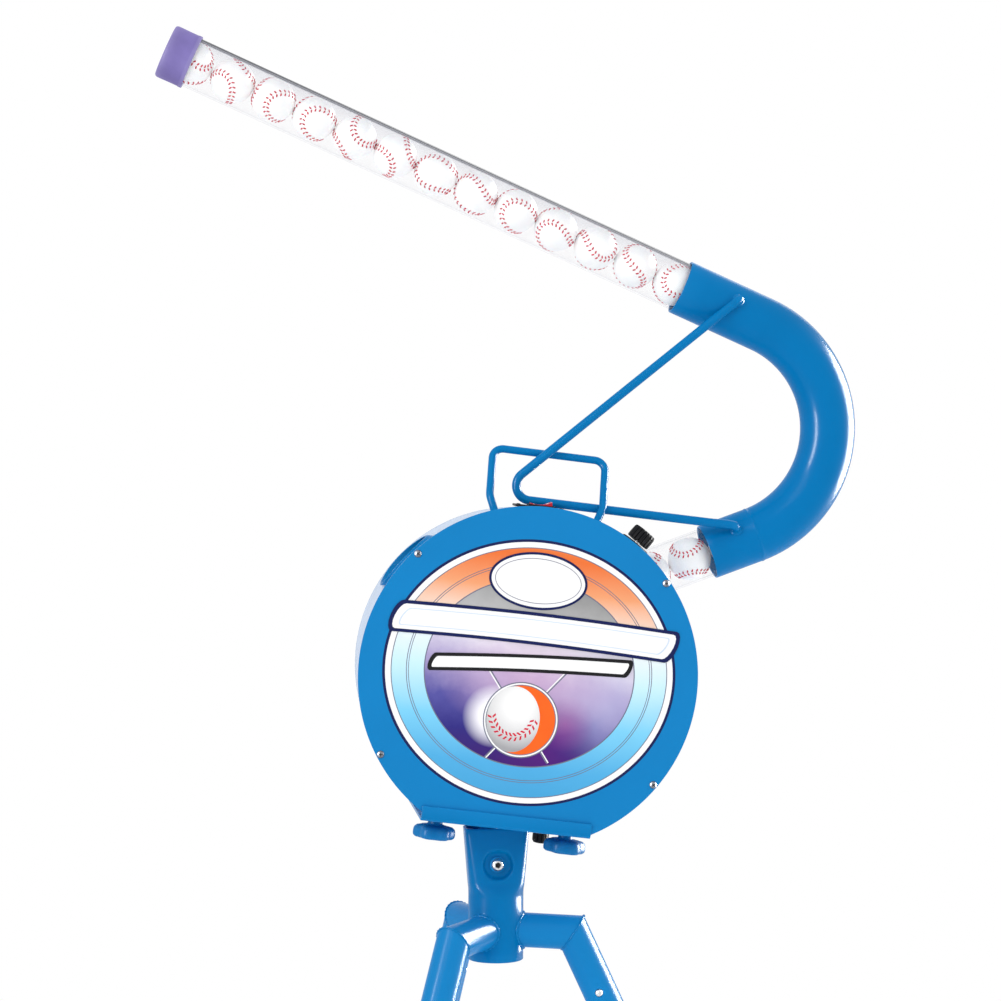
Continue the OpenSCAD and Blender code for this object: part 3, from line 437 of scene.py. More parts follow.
# ---- Camera, lights, floor ----
PHOTO_SIDE = 1001
FOCAL_PX = 3000.0
camera = bpy.data.cameras.new("camera")
camera.sensor_width = 36.0
camera.lens = FOCAL_PX / PHOTO_SIDE * camera.sensor_width
camera.dof.use_dof = False
camera.clip_start, camera.clip_end = 0.1, 200
eye = link(bpy.data.objects.new("camera", camera))
eye.location = PIVOT + Vector((-0.29974, -2.7319, 0.4292))
eye.rotation_mode = "QUATERNION"
YAW, PITCH, ROLL = -0.1105, 0.0349, 0.0026
look = Vector((-math.sin(YAW) * math.cos(PITCH), math.cos(YAW) * math.cos(PITCH), -math.sin(PITCH)))
upright = look.to_track_quat("-Z", "Y")
eye.rotation_quaternion = upright @ Matrix.Rotation(ROLL, 4, "Z").to_quaternion()
bpy.context.scene.camera = eye
bpy.context.scene.view_settings.view_transform = "Standard"

world = bpy.data.worlds.new("studio")
world.use_nodes = True
sky = world.node_tree.nodes["Background"].inputs
sky["Color"].default_value = (1.0, 1.0, 1.0, 1)
sky["Strength"].default_value = 1.0
bpy.context.scene.world = world


def lamp(name, place, target, size, power, shine_only=False):
    """An area lamp. A shine-only lamp shows in gloss and lights nothing else."""
    light = bpy.data.lights.new(name, "AREA")
    light.shape = "RECTANGLE"
    light.size, light.size_y = size
    light.energy = power
    ob = link(bpy.data.objects.new(name, light))
    ob.location = place
    ob.rotation_mode = "QUATERNION"
    ob.rotation_quaternion = (Vector(target) - Vector(place)).to_track_quat("-Z", "Y")
    ob.visible_diffuse = not shine_only


lamp("key", (-1.6, -2.4, 3.0), DRUM, (1.6, 1.2), 24)
lamp("strip", (3.0, 0.75, 1.3), DRUM, (1.9, 2.6), 1700, True)
lamp("bar", (-2.4, -1.6, 1.5), DRUM, (0.5, 1.8), 330, True)
lamp("back", (1.2, 2.2, 2.6), DRUM, (1.6, 1.0), 8)

# The floor fades out at a distance, in metres, so that it meets the backdrop with no edge.
FLOOR_HALF, FADE_FROM, FADE_TO = 16, 1.0, 3.2
bm = bmesh.new()
bmesh.ops.create_grid(bm, x_segments=8, y_segments=8, size=FLOOR_HALF)
mesh = to_mesh("floor", bm)
ground = Nodes("floor")
fade = ground.spread(ground.vector("LENGTH", ground.place).outputs["Value"], 0.0, 1.0, FADE_FROM, FADE_TO)
ground.set(Base_Color=ground.ramp(ground.noise(3, 2), [(0.2, (0.86,) * 3), (0.8, (0.9,) * 3)]))
ground.set(Roughness=0.7)
ground.blend(fade, ground.shader.outputs[0], ground.add("ShaderNodeBsdfTransparent").outputs[0])
mesh.materials.append(ground.mat)
link(bpy.data.objects.new("floor", mesh))

# ---- Feeder ----
BEND_CENTRE = Vector((153, 0, 243))
BEND_R, LOW_ANGLE, HIGH_ANGLE = 105, rad(27), rad(163)
LOW_STRAIGHT, HIGH_STRAIGHT = 46.5, 84
LOW_DIR = Vector((math.cos(LOW_ANGLE), 0, math.sin(LOW_ANGLE)))
HIGH_DIR = Vector((math.cos(HIGH_ANGLE), 0, math.sin(HIGH_ANGLE)))
BEND_FROM = LOW_ANGLE - TURN / 4
BEND_LENGTH = BEND_R * (HIGH_ANGLE - LOW_ANGLE)
PIPE_LENGTH = LOW_STRAIGHT + BEND_LENGTH + HIGH_STRAIGHT
PIPE_R, PIPE_WALL, TUBE_R = 25.4, 2.0, 23.0
TUBE_SEEN, CAP_LENGTH = 489, 26
BALL_R, BALL_PITCH, FIRST_BALL, BALL_COUNT = 20, 40.3, -17.5, 24


def on_bend(a):
    return BEND_CENTRE + BEND_R * Vector((math.cos(a), 0, math.sin(a)))


BEND_LOW, BEND_HIGH = on_bend(BEND_FROM), on_bend(HIGH_ANGLE - TURN / 4)
LOW_MOUTH = BEND_LOW - LOW_STRAIGHT * LOW_DIR


def feed(s):
    """Point on the feed path and the direction along it, a distance s past the pipe's lower mouth."""
    if s < LOW_STRAIGHT:
        return LOW_MOUTH + s * LOW_DIR, LOW_DIR
    if s < LOW_STRAIGHT + BEND_LENGTH:
        a = BEND_FROM + (s - LOW_STRAIGHT) / BEND_R
        return on_bend(a), Vector((-math.sin(a), 0, math.cos(a)))
    return BEND_HIGH + (s - LOW_STRAIGHT - BEND_LENGTH) * HIGH_DIR, HIGH_DIR


# the ball tube's finish paints shade along the tube's top side and top edge
TUBE_UP = (HEAD.to_3x3() @ Vector((HIGH_DIR.z, 0, -HIGH_DIR.x))).normalized()
frame["nodes"]["ball_tube"].data.materials[0] = clear_wall("clear_tube_top_shade_painted", HEAD @ BEND_HIGH, TUBE_UP)


def along_feed(bm, stations, sides=72, loop=True, mat=0, wave=None):
    """A skin round the feed path through (distance, radius) stations."""
    rings = []
    for s, r in stations:
        at, t = feed(s)
        out = t.cross(Vector((0, 1, 0)))
        ring = []
        for j in range(sides):
            a = j * TURN / sides
            rr = wave(a, r, s) if wave else r
            ring.append(HEAD @ (at + rr * (math.cos(a) * out + math.sin(a) * Vector((0, 1, 0)))))
        rings.append(ring)
    skin(bm, rings, loop, mat)


def bead(s, width=1.3, height=0.4):
    """Stations over a weld bead."""
    return [(s + width * k / 4, PIPE_R + height * math.cos(k / 4 * TURN / 4)) for k in range(-4, 5)]


def ripple(a, r, s):
    """The scales of a weld bead."""
    proud = max(0.0, r - PIPE_R)
    return r + proud * 0.28 * math.sin(a * 46 + s) if r < PIPE_R + 2 and proud > 0.05 else r


bm = bmesh.new()
bends = [LOW_STRAIGHT + BEND_LENGTH * k / 48 for k in range(1, 48)]
outer = [(0.6, PIPE_R), (6, PIPE_R), (30, PIPE_R)] + bead(LOW_STRAIGHT)
outer += [(s, PIPE_R) for s in bends]
outer += [(LOW_STRAIGHT + BEND_LENGTH, PIPE_R), (PIPE_LENGTH - 20, PIPE_R), (PIPE_LENGTH - 0.6, PIPE_R)]
# each mouth's rolled lip: distance in from the mouth, and depth below the outside
LIP = ((0.15, 0.3), (0, 0.9), (0.3, 1.7))
lip_high = [(PIPE_LENGTH - back, PIPE_R - deep) for back, deep in LIP]
lip_low = [(back, PIPE_R - deep) for back, deep in LIP[::-1]]
stops = [s for s, _ in outer[::-1] if 2 < s < PIPE_LENGTH - 3]
inner = [(s, PIPE_R - PIPE_WALL) for s in [PIPE_LENGTH - 1.2] + stops + [1.2]]
along_feed(bm, outer + lip_high + inner + lip_low, wave=ripple)
piece("feed_pipe_welded", "machine", bm, [BLUE], ["feed_pipe", "pipe_sleeve"])

# Brace rod: a bent bar with a weld fillet at each end
ROD_Y, ROD_R, ROD_TIP_R, ROD_ANGLE = -28.5, 4.0, 13.5, rad(45.7)
ROD_LOW, ROD_HIGH = Vector((178, ROD_Y, 156.5)), Vector((155, ROD_Y, 363))
corner_x = ROD_HIGH.x - (ROD_HIGH.z - ROD_LOW.z) / math.tan(ROD_ANGLE)
tip = Vector((corner_x + ROD_TIP_R / math.tan(ROD_ANGLE / 2), ROD_Y, ROD_LOW.z + ROD_TIP_R))


def foot_of(point, start, direction):
    return start + (point - start).dot(direction) * direction


def rounded_end(end, before, foot, r, fillet):
    """Points and radii from a bar's straight, round a tight elbow and down into a weld on the pipe."""
    inward = Vector((foot.x - end.x, -end.y, foot.z - end.z))
    reach = inward.length - PIPE_R
    inward.normalize()
    along = (end - before).normalized()
    points = [end - along * 7, end - along * 4, end - along * 1.6 + inward * 0.4]
    points += [end + inward * 1.6, end + inward * (reach - 2.5), end + inward * (reach - 1)]
    points += [end + inward * (reach - 0.2), end + inward * (reach + 0.8)]
    return points, [r, r, r, r, r, r + fillet * 0.35, r + fillet, r + fillet * 0.9]


low, low_r = rounded_end(ROD_LOW, tip, foot_of(ROD_LOW, LOW_MOUTH, LOW_DIR), ROD_R, 1.8)
high, high_r = rounded_end(ROD_HIGH, tip, foot_of(ROD_HIGH, BEND_HIGH, HIGH_DIR), ROD_R, 1.8)
low, low_r = low[::-1], low_r[::-1]
along_low = [ROD_LOW.lerp(tip - Vector((0, 0, ROD_TIP_R)), k / 8) for k in range(1, 8)]
bend = [
    tip + ROD_TIP_R * Vector((math.cos(a), 0, math.sin(a)))
    for a in [-TURN / 4 - (TURN / 2 - ROD_ANGLE) * k / 20 for k in range(21)]
]
along_high = [bend[-1].lerp(ROD_HIGH, k / 8) for k in range(1, 8)]
path = low + along_low + bend + along_high + high
bm = bmesh.new()
sweep(bm, HEAD, path, low_r + [ROD_R] * (len(path) - len(low) - len(high)) + high_r, 24)
piece("brace_rod_bent", "machine", bm, [BLUE], ["brace_rod"])


# ---- Balls: a cover with a raised seam and two rows of slanted stitches ----
def seam(t):
    a, b = 0.72, 0.28
    c = 2 * math.sqrt(a * b)
    return Vector(
        (a * math.cos(t) + b * math.cos(3 * t), a * math.sin(t) - b * math.sin(3 * t), c * math.sin(2 * t))
    ).normalized()


def make_ball():
    bm = bmesh.new()
    bmesh.ops.create_icosphere(bm, subdivisions=5, radius=1)
    line = [seam(k * TURN / 160) for k in range(160)]
    for v in bm.verts:
        d = v.co.normalized()
        gap = math.acos(min(1.0, max(d.dot(p) for p in line)))
        ridge = 0.006 * math.exp(-((gap / 0.075) ** 2)) - 0.009 * math.exp(-((gap / 0.02) ** 2))
        v.co = d * (0.994 + ridge)
    stitches = 48
    for k in range(stitches):
        t = (k + 0.5) * TURN / stitches
        p = seam(t)
        ahead = (seam(t + 0.01) - seam(t - 0.01)).normalized()
        side = p.cross(ahead)
        for hand in (-1, 1):
            start = (p + side * hand * 0.02 - ahead * 0.014).normalized()
            end = (p + side * hand * 0.155 + ahead * 0.05).normalized()
            middle = (start + end).normalized()
            points = [start * 0.985, start.lerp(middle, 0.3).normalized() * 0.992, middle * 0.996,
                      end.lerp(middle, 0.3).normalized() * 0.992, end * 0.98]
            sweep(bm, Matrix(), points, [0.012, 0.032, 0.036, 0.032, 0.012], 6, mat=1)
    bmesh.ops.recalc_face_normals(bm, faces=bm.faces)
    mesh = to_mesh("stitched_ball", bm)
    mesh.shade_smooth()
    mesh.materials.append(COVER)
    mesh.materials.append(THREAD)
    return mesh


random.seed(40)
ball_mesh = make_ball()
for i in range(BALL_COUNT):
    at, _ = feed(FIRST_BALL + (i - 1) * BALL_PITCH)
    ball = link(bpy.data.objects.new(f"ball_{i + 1:02d}", ball_mesh))
    turned = Matrix()
    for axis in "XYZ":
        turned = turned @ Matrix.Rotation(random.uniform(0, TURN), 4, axis)
    ball.matrix_world = Matrix.Translation(HEAD @ at) @ turned @ Matrix.Scale(BALL_R * 0.001, 4)
    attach(ball, "machine")
    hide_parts("balls")

# ---- End cap: soft vinyl, with a rolled rim, a recessed end and faint moulding rings ----
cap = aim(feed(PIPE_LENGTH + TUBE_SEEN)[0], HIGH_DIR)
bm = bmesh.new()
R = TUBE_R + 2.0
profile = [(TUBE_R + 0.12, 0.5), (TUBE_R + 0.5, 0.05), (R - 0.4, 0.0), (R, 0.6), (R, 3.2), (R - 0.35, 4.2),
           (R - 0.35, 12), (R - 0.2, 20), (R - 0.25, 23.6), (R - 0.9, 25.3), (R - 2.0, 26.0), (R - 3.0, 25.9),
           (R - 3.7, 25.0), (R - 4.2, 24.6), (12, 24.5), (11.4, 24.9), (10.6, 24.9), (10, 24.5), (0, 24.5)]
inside = [(0, 21.6), (TUBE_R - 1, 21.6), (TUBE_R + 0.08, 21.0), (TUBE_R + 0.08, 10)]
lathe(bm, HEAD @ cap, inside + profile, 96)
piece("end_cap_vinyl", "tube_cap", bm, [PURPLE], ["end_cap"])

# ---- Carry handle: a bent rod leaning back, with weld fillets at its feet ----
HANDLE_R, HANDLE_HALF = 3.5, 52
bail = Matrix.Translation((0, -18, 200)) @ Matrix.Rotation(rad(-25), 4, "X")


def arc(cx, cz, r, a0, a1, steps):
    angles = [rad(a0 + (a1 - a0) * k / steps) for k in range(steps + 1)]
    return [Vector((cx + r * math.cos(a), 0, cz + r * math.sin(a))) for a in angles]


ankle = arc(HANDLE_HALF - 18, -44, 18, -20, 0, 6)
shoulder = arc(HANDLE_HALF - 10, -10, 10, 0, 90, 12)
down = Vector((math.sin(rad(20)), 0, math.cos(rad(20))))
foot = [ankle[0] - down * k for k in (17.0, 15.6, 14.6, 13.2, 8)]
half = foot + ankle + [ankle[-1].lerp(shoulder[0], k / 5) for k in range(1, 5)] + shoulder
radii = [5.4, 5.3, 4.4, 3.7, 3.5] + [HANDLE_R] * (len(half) - 5)
path = half + [Vector((-p.x, 0, p.z)) for p in half[::-1]]
bm = bmesh.new()
sweep(bm, HEAD @ bail, path, radii + radii[::-1], 24)
piece("carry_handle_bent", "machine", bm, [BLUE], ["carry_handle"])

# ---- Front plate: pressed disc with a rounded rim and a flat foot ----
PLATE_R, PLATE_FRONT, DRUM_HALF, TRAY_TOP = 153.5, -70.0, 68.0, -136.0


def clipped_disc(r, low, steps=240):
    """A disc's outline cut straight across at height low."""
    start = math.asin(low / r)
    angles = [start + (math.pi - 2 * start) * k / steps for k in range(steps + 1)]
    return [(r * math.cos(a), r * math.sin(a)) for a in angles]


bm = bmesh.new()
slab(bm, HEAD, clipped_disc(PLATE_R, TRAY_TOP), PLATE_FRONT, -DRUM_HALF, 0.7, 3)
piece("front_plate_pressed", "machine", bm, [BLUE], ["front_plate"], 30)

# ---- Screws: pan heads with a cross recess ----
def screw(bm, where):
    head = [(3.4, -1.2), (3.5, -0.2), (3.3, 0.6), (2.7, 1.35), (1.9, 1.8), (1.1, 2.0), (0, 2.05)]
    lathe(bm, where, [(0, -7), (1.9, -7), (1.9, -1.2)] + head, 32)


def cross(bm, where, arm=1.8, wide=0.7, deep=0.4):
    """A cross recess drawn as a sunk cross on top of the head, coloured near black to paint the shade inside
    the recess.
    """
    for turn in (0, TURN / 4):
        block(bm, where @ Matrix.Rotation(turn, 4, "Z"), (2 * arm, wide, deep), 0.12, 1, 1)


bm = bmesh.new()
FRONT_SCREWS = (149.6, PLATE_FRONT, -1, (41, 139, 214, 326))
BACK_SCREWS = (138, -PLATE_FRONT, 1, (45, 135, 225, 315))
for ring, y, facing, angles in (FRONT_SCREWS, BACK_SCREWS):
    for k, a in enumerate(angles):
        seat = HEAD @ aim((ring * math.cos(rad(a)), y, ring * math.sin(rad(a))), (0, facing, 0), (0, 0, 1))
        seat = seat @ Matrix.Rotation(rad(23 + 37 * k), 4, "Z")
        screw(bm, seat)
        cross(bm, seat @ Matrix.Translation((0, 0, 1.95)))
piece("plate_screw_set", "machine", bm, [DULL, RECESS_SHADE], ["plate_screws"], 30)

# ---- Label: thin printed layers, each a hair above the last ----
LABEL_RISE, LAYER_STEP, FIRST_LAYER = 3.9, 3, 6


def oval(a, b, cx=0.0, cz=LABEL_RISE, steps=160):
    return [(cx + a * math.cos(k * TURN / steps), cz + b * math.sin(k * TURN / steps)) for k in range(steps)]


def layer(bm, outline, level, mat):
    """A thin closed sheet whose face stands level hundredths of a millimetre above the plate."""
    part = bmesh.new()
    front = PLATE_FRONT - level * 0.01
    skin(part, [[(x, y, z) for x, z in outline] for y in (front, front + 0.04)])
    join(bm, part, HEAD, mat)


def head_axis(n):
    """Machine X and Z of a point in millimetres, as two sockets."""
    shift = n.vector("SUBTRACT", n.place, DRUM).outputs[0]
    axes = ((math.cos(TILT), 0, -math.sin(TILT)), (math.sin(TILT), 0, math.cos(TILT)))
    return [n.vector("DOT_PRODUCT", shift, [1000 * c for c in axis]).outputs["Value"] for axis in axes]


def print_finish(n):
    """Printed vinyl under a clear film."""
    n.set(Coat_Weight=0.04, Coat_Roughness=0.15, IOR=1.45, Specular_IOR_Level=0.1)
    n.set(Roughness=n.spread(n.noise(70, 2), 0.36, 0.46))
    n.bump(n.noise(1800, 2), 0.04, 0.0002)
    return n.mat


def spot(n, x, z, cx, cz, size, stretch=1.0):
    """1 at (cx, cz), falling to 0 at size millimetres."""
    dx = n.math("MULTIPLY", n.math("SUBTRACT", x, cx), stretch)
    dz = n.math("SUBTRACT", z, cz)
    far = n.math("SQRT", n.math("ADD", n.math("MULTIPLY", dx, dx), n.math("MULTIPLY", dz, dz)))
    return n.spread(far, 1.0, 0.0, 0.0, size)


def ink(name, colour, vary=0.05):
    n = Nodes(name)
    n.set(Base_Color=n.ramp(n.noise(50, 3), [(0.3, tint(colour, 1 - vary)), (0.7, tint(colour, 1 + vary))]))
    return print_finish(n)


def ring_print():
    """Sunset band: orange at the top, white across the middle, blue at the bottom."""
    n = Nodes("label_band")
    x, z = head_axis(n)
    swirl = n.math("MULTIPLY", n.math("SUBTRACT", n.noise(14, 3), 0.5), 14.0)
    height = n.spread(n.math("ADD", z, swirl), 0.0, 1.0, -125.0, 128.0)
    stops = [(0.0, (0.05, 0.32, 0.62)), (0.18, (0.08, 0.40, 0.72)), (0.34, (0.20, 0.60, 0.86)),
             (0.50, (0.55, 0.81, 0.93)), (0.62, (0.80, 0.85, 0.88)), (0.70, (0.86, 0.66, 0.55)),
             (0.80, (0.84, 0.35, 0.17)), (0.92, (0.80, 0.17, 0.04)), (1.0, (0.82, 0.22, 0.07))]
    n.set(Base_Color=n.ramp(height, stops))
    return print_finish(n)


def disc_print():
    """Inner disc: grey sky, pale middle, violet and magenta below, with a white glow beside the emblem."""
    n = Nodes("label_disc")
    x, z = head_axis(n)
    cloud = n.noise(26, 5, 0.6)
    wobble = n.math("MULTIPLY", n.math("SUBTRACT", cloud, 0.5), 34.0)
    height = n.spread(n.math("ADD", n.math("ADD", z, wobble), n.math("MULTIPLY", x, 0.12)), 0, 1, -90.0, 90.0)
    stops = [(0.0, (0.05, 0.01, 0.14)), (0.16, (0.03, 0.025, 0.21)), (0.34, (0.09, 0.085, 0.34)),
             (0.50, (0.40, 0.34, 0.58)), (0.62, (0.70, 0.66, 0.78)), (0.76, (0.47, 0.47, 0.48)),
             (0.92, (0.31, 0.31, 0.31)), (1.0, (0.25, 0.25, 0.27))]
    base = n.ramp(height, stops)
    lilac = n.math("MULTIPLY", n.math("POWER", spot(n, x, z, 72, -18, 60), 1.3), 0.8)
    base = n.mix(lilac, base, (0.44, 0.42, 0.66, 1))
    magenta = n.math("MULTIPLY", spot(n, x, z, 22, -66, 50), 0.9)
    base = n.mix(magenta, base, (0.09, 0.012, 0.18, 1))
    rose = n.math("MULTIPLY", spot(n, x, z, 38, -38, 26), 0.5)
    base = n.mix(rose, base, (0.34, 0.05, 0.30, 1))
    pink = n.math("MULTIPLY", spot(n, x, z, 0, -4, 50, 0.6), 0.6)
    base = n.mix(pink, base, (0.70, 0.45, 0.62, 1))
    glow = n.spread(spot(n, x, z, -27, -38, 32), 0.0, 1.0, 0.1, 0.6)
    base = n.mix(glow, base, (0.95, 0.94, 0.98, 1))
    n.set(Base_Color=base)
    return print_finish(n)


def ball_print():
    """The emblem's ball, shaded as a printed sphere."""
    n = Nodes("label_ball")
    x, z = head_axis(n)
    lit = spot(n, x, z, -6, -26, 42)
    shades = [(0.05, (0.36, 0.36, 0.38)), (0.35, (0.66, 0.66, 0.67)), (0.8, (0.93, 0.93, 0.93))]
    n.set(Base_Color=n.ramp(lit, shades))
    return print_finish(n)


NAVY, WHITE, GREY, ORANGE, RED_INK, PALE, NIGHT = range(7)
inks = [
    ink("label_navy", (0.008, 0.014, 0.085)), ink("label_white", (0.88, 0.88, 0.89), 0.02),
    ink("label_grey", (0.16, 0.17, 0.24)), ink("label_orange", (0.88, 0.13, 0.015)),
    ink("label_red", (0.62, 0.02, 0.05)), ink("label_pale", (0.62, 0.72, 0.85)),
    ink("label_night", (0.012, 0.012, 0.014)),
]
BAND, DISC, EMBLEM = len(inks), len(inks) + 1, len(inks) + 2
inks += [ring_print(), disc_print(), ball_print()]

bm = bmesh.new()
level = FIRST_LAYER
for a, b, m in ((132.5, 119.7, NAVY), (130.0, 117.3, WHITE), (125.0, 112.5, GREY), (124.2, 111.7, BAND),
                (111.3, 99.0, GREY), (110.6, 98.4, BAND), (109.4, 97.1, GREY), (108.8, 96.5, BAND),
                (95.4, 85.0, GREY), (94.4, 84.0, DISC)):
    layer(bm, oval(a, b), level, m)
    level += LAYER_STEP
EMBLEM_X, EMBLEM_Z, RAY_HALF = -2.7, -39.0, 0.55
for a in (52, 128, 232, 308):
    out = Vector((math.cos(rad(a)), math.sin(rad(a))))
    across = Vector((-out.y, out.x))
    start = Vector((EMBLEM_X, EMBLEM_Z)) + out * 33
    tail = Vector((EMBLEM_X, EMBLEM_Z)) + out * (62 if a < 180 else 46)
    for shift, m in ((0.0, GREY), (1.3, WHITE)):
        near, far = across * (shift - RAY_HALF), across * (shift + RAY_HALF)
        layer(bm, [start + far, tail + far, tail + near, start + near], level, m)
level += LAYER_STEP
for a, m in ((34.2, GREY), (33.2, WHITE), (31.8, GREY), (31.0, ORANGE)):
    layer(bm, oval(a, a, EMBLEM_X, EMBLEM_Z), level, m)
    level += LAYER_STEP
layer(bm, oval(24.0, 29.6, EMBLEM_X - 7.0, EMBLEM_Z), level, EMBLEM)
level += LAYER_STEP
# stitches of the emblem: two rows of slanted strokes along a dipping curve
for k in range(13):
    a = rad(198 + 146 * k / 12)
    c = Vector((EMBLEM_X - 7 + 20 * math.cos(a), EMBLEM_Z + 7 + 23 * math.sin(a)))
    along = Vector((-math.sin(a) * 20, math.cos(a) * 23)).normalized()
    out = Vector((along.y, -along.x))
    for hand in (-1, 1):
        s = c + out * hand * 0.5
        e = c + out * hand * 3.7 - along * 2.0
        wide = along * 0.95
        stroke = [s - wide, e - wide, e + wide, s + wide]
        layer(bm, stroke if hand > 0 else stroke[::-1], level, RED_INK)
level += LAYER_STEP
# blank badge at the top, and blank banners where the lettering was
BADGE_X, BADGE_Z = -2.4, 86.6
for a, b, m in ((44.6, 25.7, NAVY), (42.4, 23.5, WHITE), (39.2, 20.3, GREY), (38.6, 19.7, WHITE)):
    layer(bm, oval(a, b, BADGE_X, BADGE_Z), level, m)
    level += LAYER_STEP


def banner(x0, x1, z0, z1, lean, bow, steps=24):
    """A leaning bar with rounded ends, bowed by a few millimetres."""
    mid, half = (z0 + z1) / 2, (z1 - z0) / 2
    points = []
    for k in range(steps + 1):
        x = x1 - (x1 - x0) * k / steps
        points.append((x + lean, z1 + bow * math.cos(math.pi * (x - (x0 + x1) / 2) / (x1 - x0))))
    for k in range(1, 8):
        a = TURN / 4 + math.pi * k / 8
        points.append((x0 + half * 0.45 * math.cos(a) + lean * math.sin(a), mid + half * math.sin(a)))
    for k in range(steps + 1):
        x = x0 + (x1 - x0) * k / steps
        points.append((x - lean, z0 + bow * math.cos(math.pi * (x - (x0 + x1) / 2) / (x1 - x0))))
    for k in range(1, 8):
        a = -TURN / 4 + math.pi * k / 8
        points.append((x1 + half * 0.45 * math.cos(a) + lean * math.sin(a), mid + half * math.sin(a)))
    return points[::-1]


for x, z0, z1, lift, m in ((124, 27, 56, 0, NAVY), (121.5, 30, 53, 3, WHITE),
                           (117, 33.4, 49.6, 6, PALE), (116, 34.2, 48.8, 9, WHITE)):
    layer(bm, banner(-x, x, z0, z1, 4, 2.5), level + lift, m)
for x, z0, z1, lift, m in ((88, 3, 19, 0, NIGHT), (85.5, 6, 16, 3, WHITE)):
    layer(bm, [(u, v + 0.075 * u) for u, v in banner(-x, x, z0, z1, 2, 1.5)], level + lift, m)
piece("face_label_printed", "machine", bm, inks, ["face_label"], 30)

# ---- Power switch: bezel with a raised lip, and a dished rocker ----
SWITCH = HEAD @ Matrix.Translation((-6.5, -46, 0))


def frame_ring(bm, where, outer, inner, z0, z1):
    """A rectangular ring with rounded edges, as four mitred lengths."""
    ox, oy = outer[0] / 2, outer[1] / 2
    ix, iy = inner[0] / 2, inner[1] / 2
    corners = [(-1, -1), (1, -1), (1, 1), (-1, 1)]
    section = [(ox, oy, z0), (ox, oy, z1 - 0.5), (ox - 0.5, oy - 0.5, z1)]
    section += [(ix + 0.4, iy + 0.4, z1), (ix, iy, z1 - 0.4), (ix, iy, z0)]
    rings = [[where @ Vector((sx * hx, sy * hy, z)) for sx, sy in corners] for hx, hy, z in section]
    skin(bm, rings, True)


bm = bmesh.new()
frame_ring(bm, SWITCH, (47, 24), (22.4, 15.4), 150.5, 152.5)
frame_ring(bm, SWITCH @ Matrix.Translation((1.5, 0, 0)), (25, 18), (21.9, 14.9), 152.2, 154.0)
block(bm, SWITCH @ Matrix.Translation((0, 0, 132.5)), (38, 18, 21), 0.6)
for side in (-1, 1):
    block(bm, SWITCH @ Matrix.Translation((side * 14.5, 0, 146.5)), (9, 18, 8), 0.5)
    block(bm, SWITCH @ Matrix.Translation((0, side * 8.3, 146.5)), (37, 1.2, 8), 0.3)
    rivet = SWITCH @ Matrix.Translation((side * 19.6 + 0.2, 0, 152.2))
    lathe(bm, rivet, [(0, 0), (2.0, 0), (1.9, 0.7), (1.2, 1.05), (0, 1.1)], 20)
piece("switch_bezel", "machine", bm, [BLACK], ["switch_body"], 30)

bm = bmesh.new()
tipped = HEAD @ Matrix.Translation((-5, -46, 149)) @ Matrix.Rotation(rad(-8), 4, "Y")
top = [(x, 5.2 + 2.3 * (x / 9.8) ** 2) for x in [-9.8 + 19.6 * k / 16 for k in range(17)]]
outline = top[::-1] + [(-9.8, 0), (-6, -4), (6, -4), (9.8, 0)]
slab(bm, tipped, outline[::-1], -6.9, 6.9, 0.5, 2)
sweep(bm, tipped, [(0, -8.5, 0), (0, 8.5, 0)], 1.35, 16)
off_mark = tipped @ Matrix.Translation((6.4, 0, 6.1)) @ Matrix.Rotation(rad(-9), 4, "Y")
lathe(bm, off_mark, [(1.2, 0), (1.9, 0), (1.9, 0.32), (1.2, 0.32)], 24, True, 1)
on_mark = tipped @ Matrix.Translation((-6.4, 0, 6.25)) @ Matrix.Rotation(rad(9), 4, "Y")
block(bm, on_mark, (0.7, 4.6, 0.5), 0.12, 1, 1)
piece("rocker_button", "rocker", bm, [RED, WHITE_MARK], ["power_rocker"], 30)

# ---- Speed control: domed seat and ribbed knob ----
DIAL = HEAD @ Matrix.Translation((0, -45, 0)) @ Matrix.Rotation(TURN / 4 - rad(56.8), 4, "Y")
bm = bmesh.new()
profile = [(4.7, 146.3), (14.2, 145.2), (15, 147.5), (15, 153), (14.6, 154.3), (13.4, 155.2), (4.7, 155.5)]
lathe(bm, DIAL, profile, 72, True)
piece("dial_seat", "machine", bm, [BLACK], ["dial_base"])


def ribs(a, r, z):
    """Grooves round the knob's skirt."""
    return r if r < 9.4 else r - 0.95 * max(0.0, math.cos(a * 18)) ** 2.0


bm = bmesh.new()
profile = [(0, 165.5), (3.02, 165.5), (3.02, 157.5), (10.6, 157.1), (11.2, 157.7), (11.25, 162.5)]
profile += [(11.1, 167.1), (10.7, 168.5), (9.9, 169.3), (9.0, 169.4), (8.4, 169.0), (0, 168.9)]
lathe(bm, DIAL, profile, 216, False, 0, ribs)
block(bm, DIAL @ Matrix.Translation((0, 6.4, 169.05)), (0.9, 4.6, 0.5), 0.15, 1, 1)
piece("speed_knob_ribbed", "speed_dial", bm, [BLACK, WHITE_MARK], ["speed_knob"], 34)


# ---- Clamp knobs: six-lobed heads under a smooth dome, on a stem ----
def lobes(a, r, z):
    return r if r < 8 else r * (1 + 0.075 * math.cos(6 * a) * min(1.0, (r - 8) / 6))


profile = [(0, -157.2), (8, -157.7), (13, -158.0), (16, -157.4), (17.6, -156), (18.0, -154)]
profile += [(17.9, -150.5), (17.2, -148.3), (15.4, -146.6), (12.5, -145.9), (8.4, -145.6)]
profile += [(7.2, -144.9), (6.7, -143.6), (6.7, -139.4), (6.2, -138.9), (0, -138.9)]
for side, x in (("left", -64), ("right", 56)):
    bm = bmesh.new()
    lathe(bm, HEAD @ Matrix.Translation((x, -35, 0)), profile, 96, False, 0, lobes)
    piece(f"{side}_clamp_head", f"{side}_clamp", bm, [MOULDED], [f"{side}_clamp_knob"], 40)

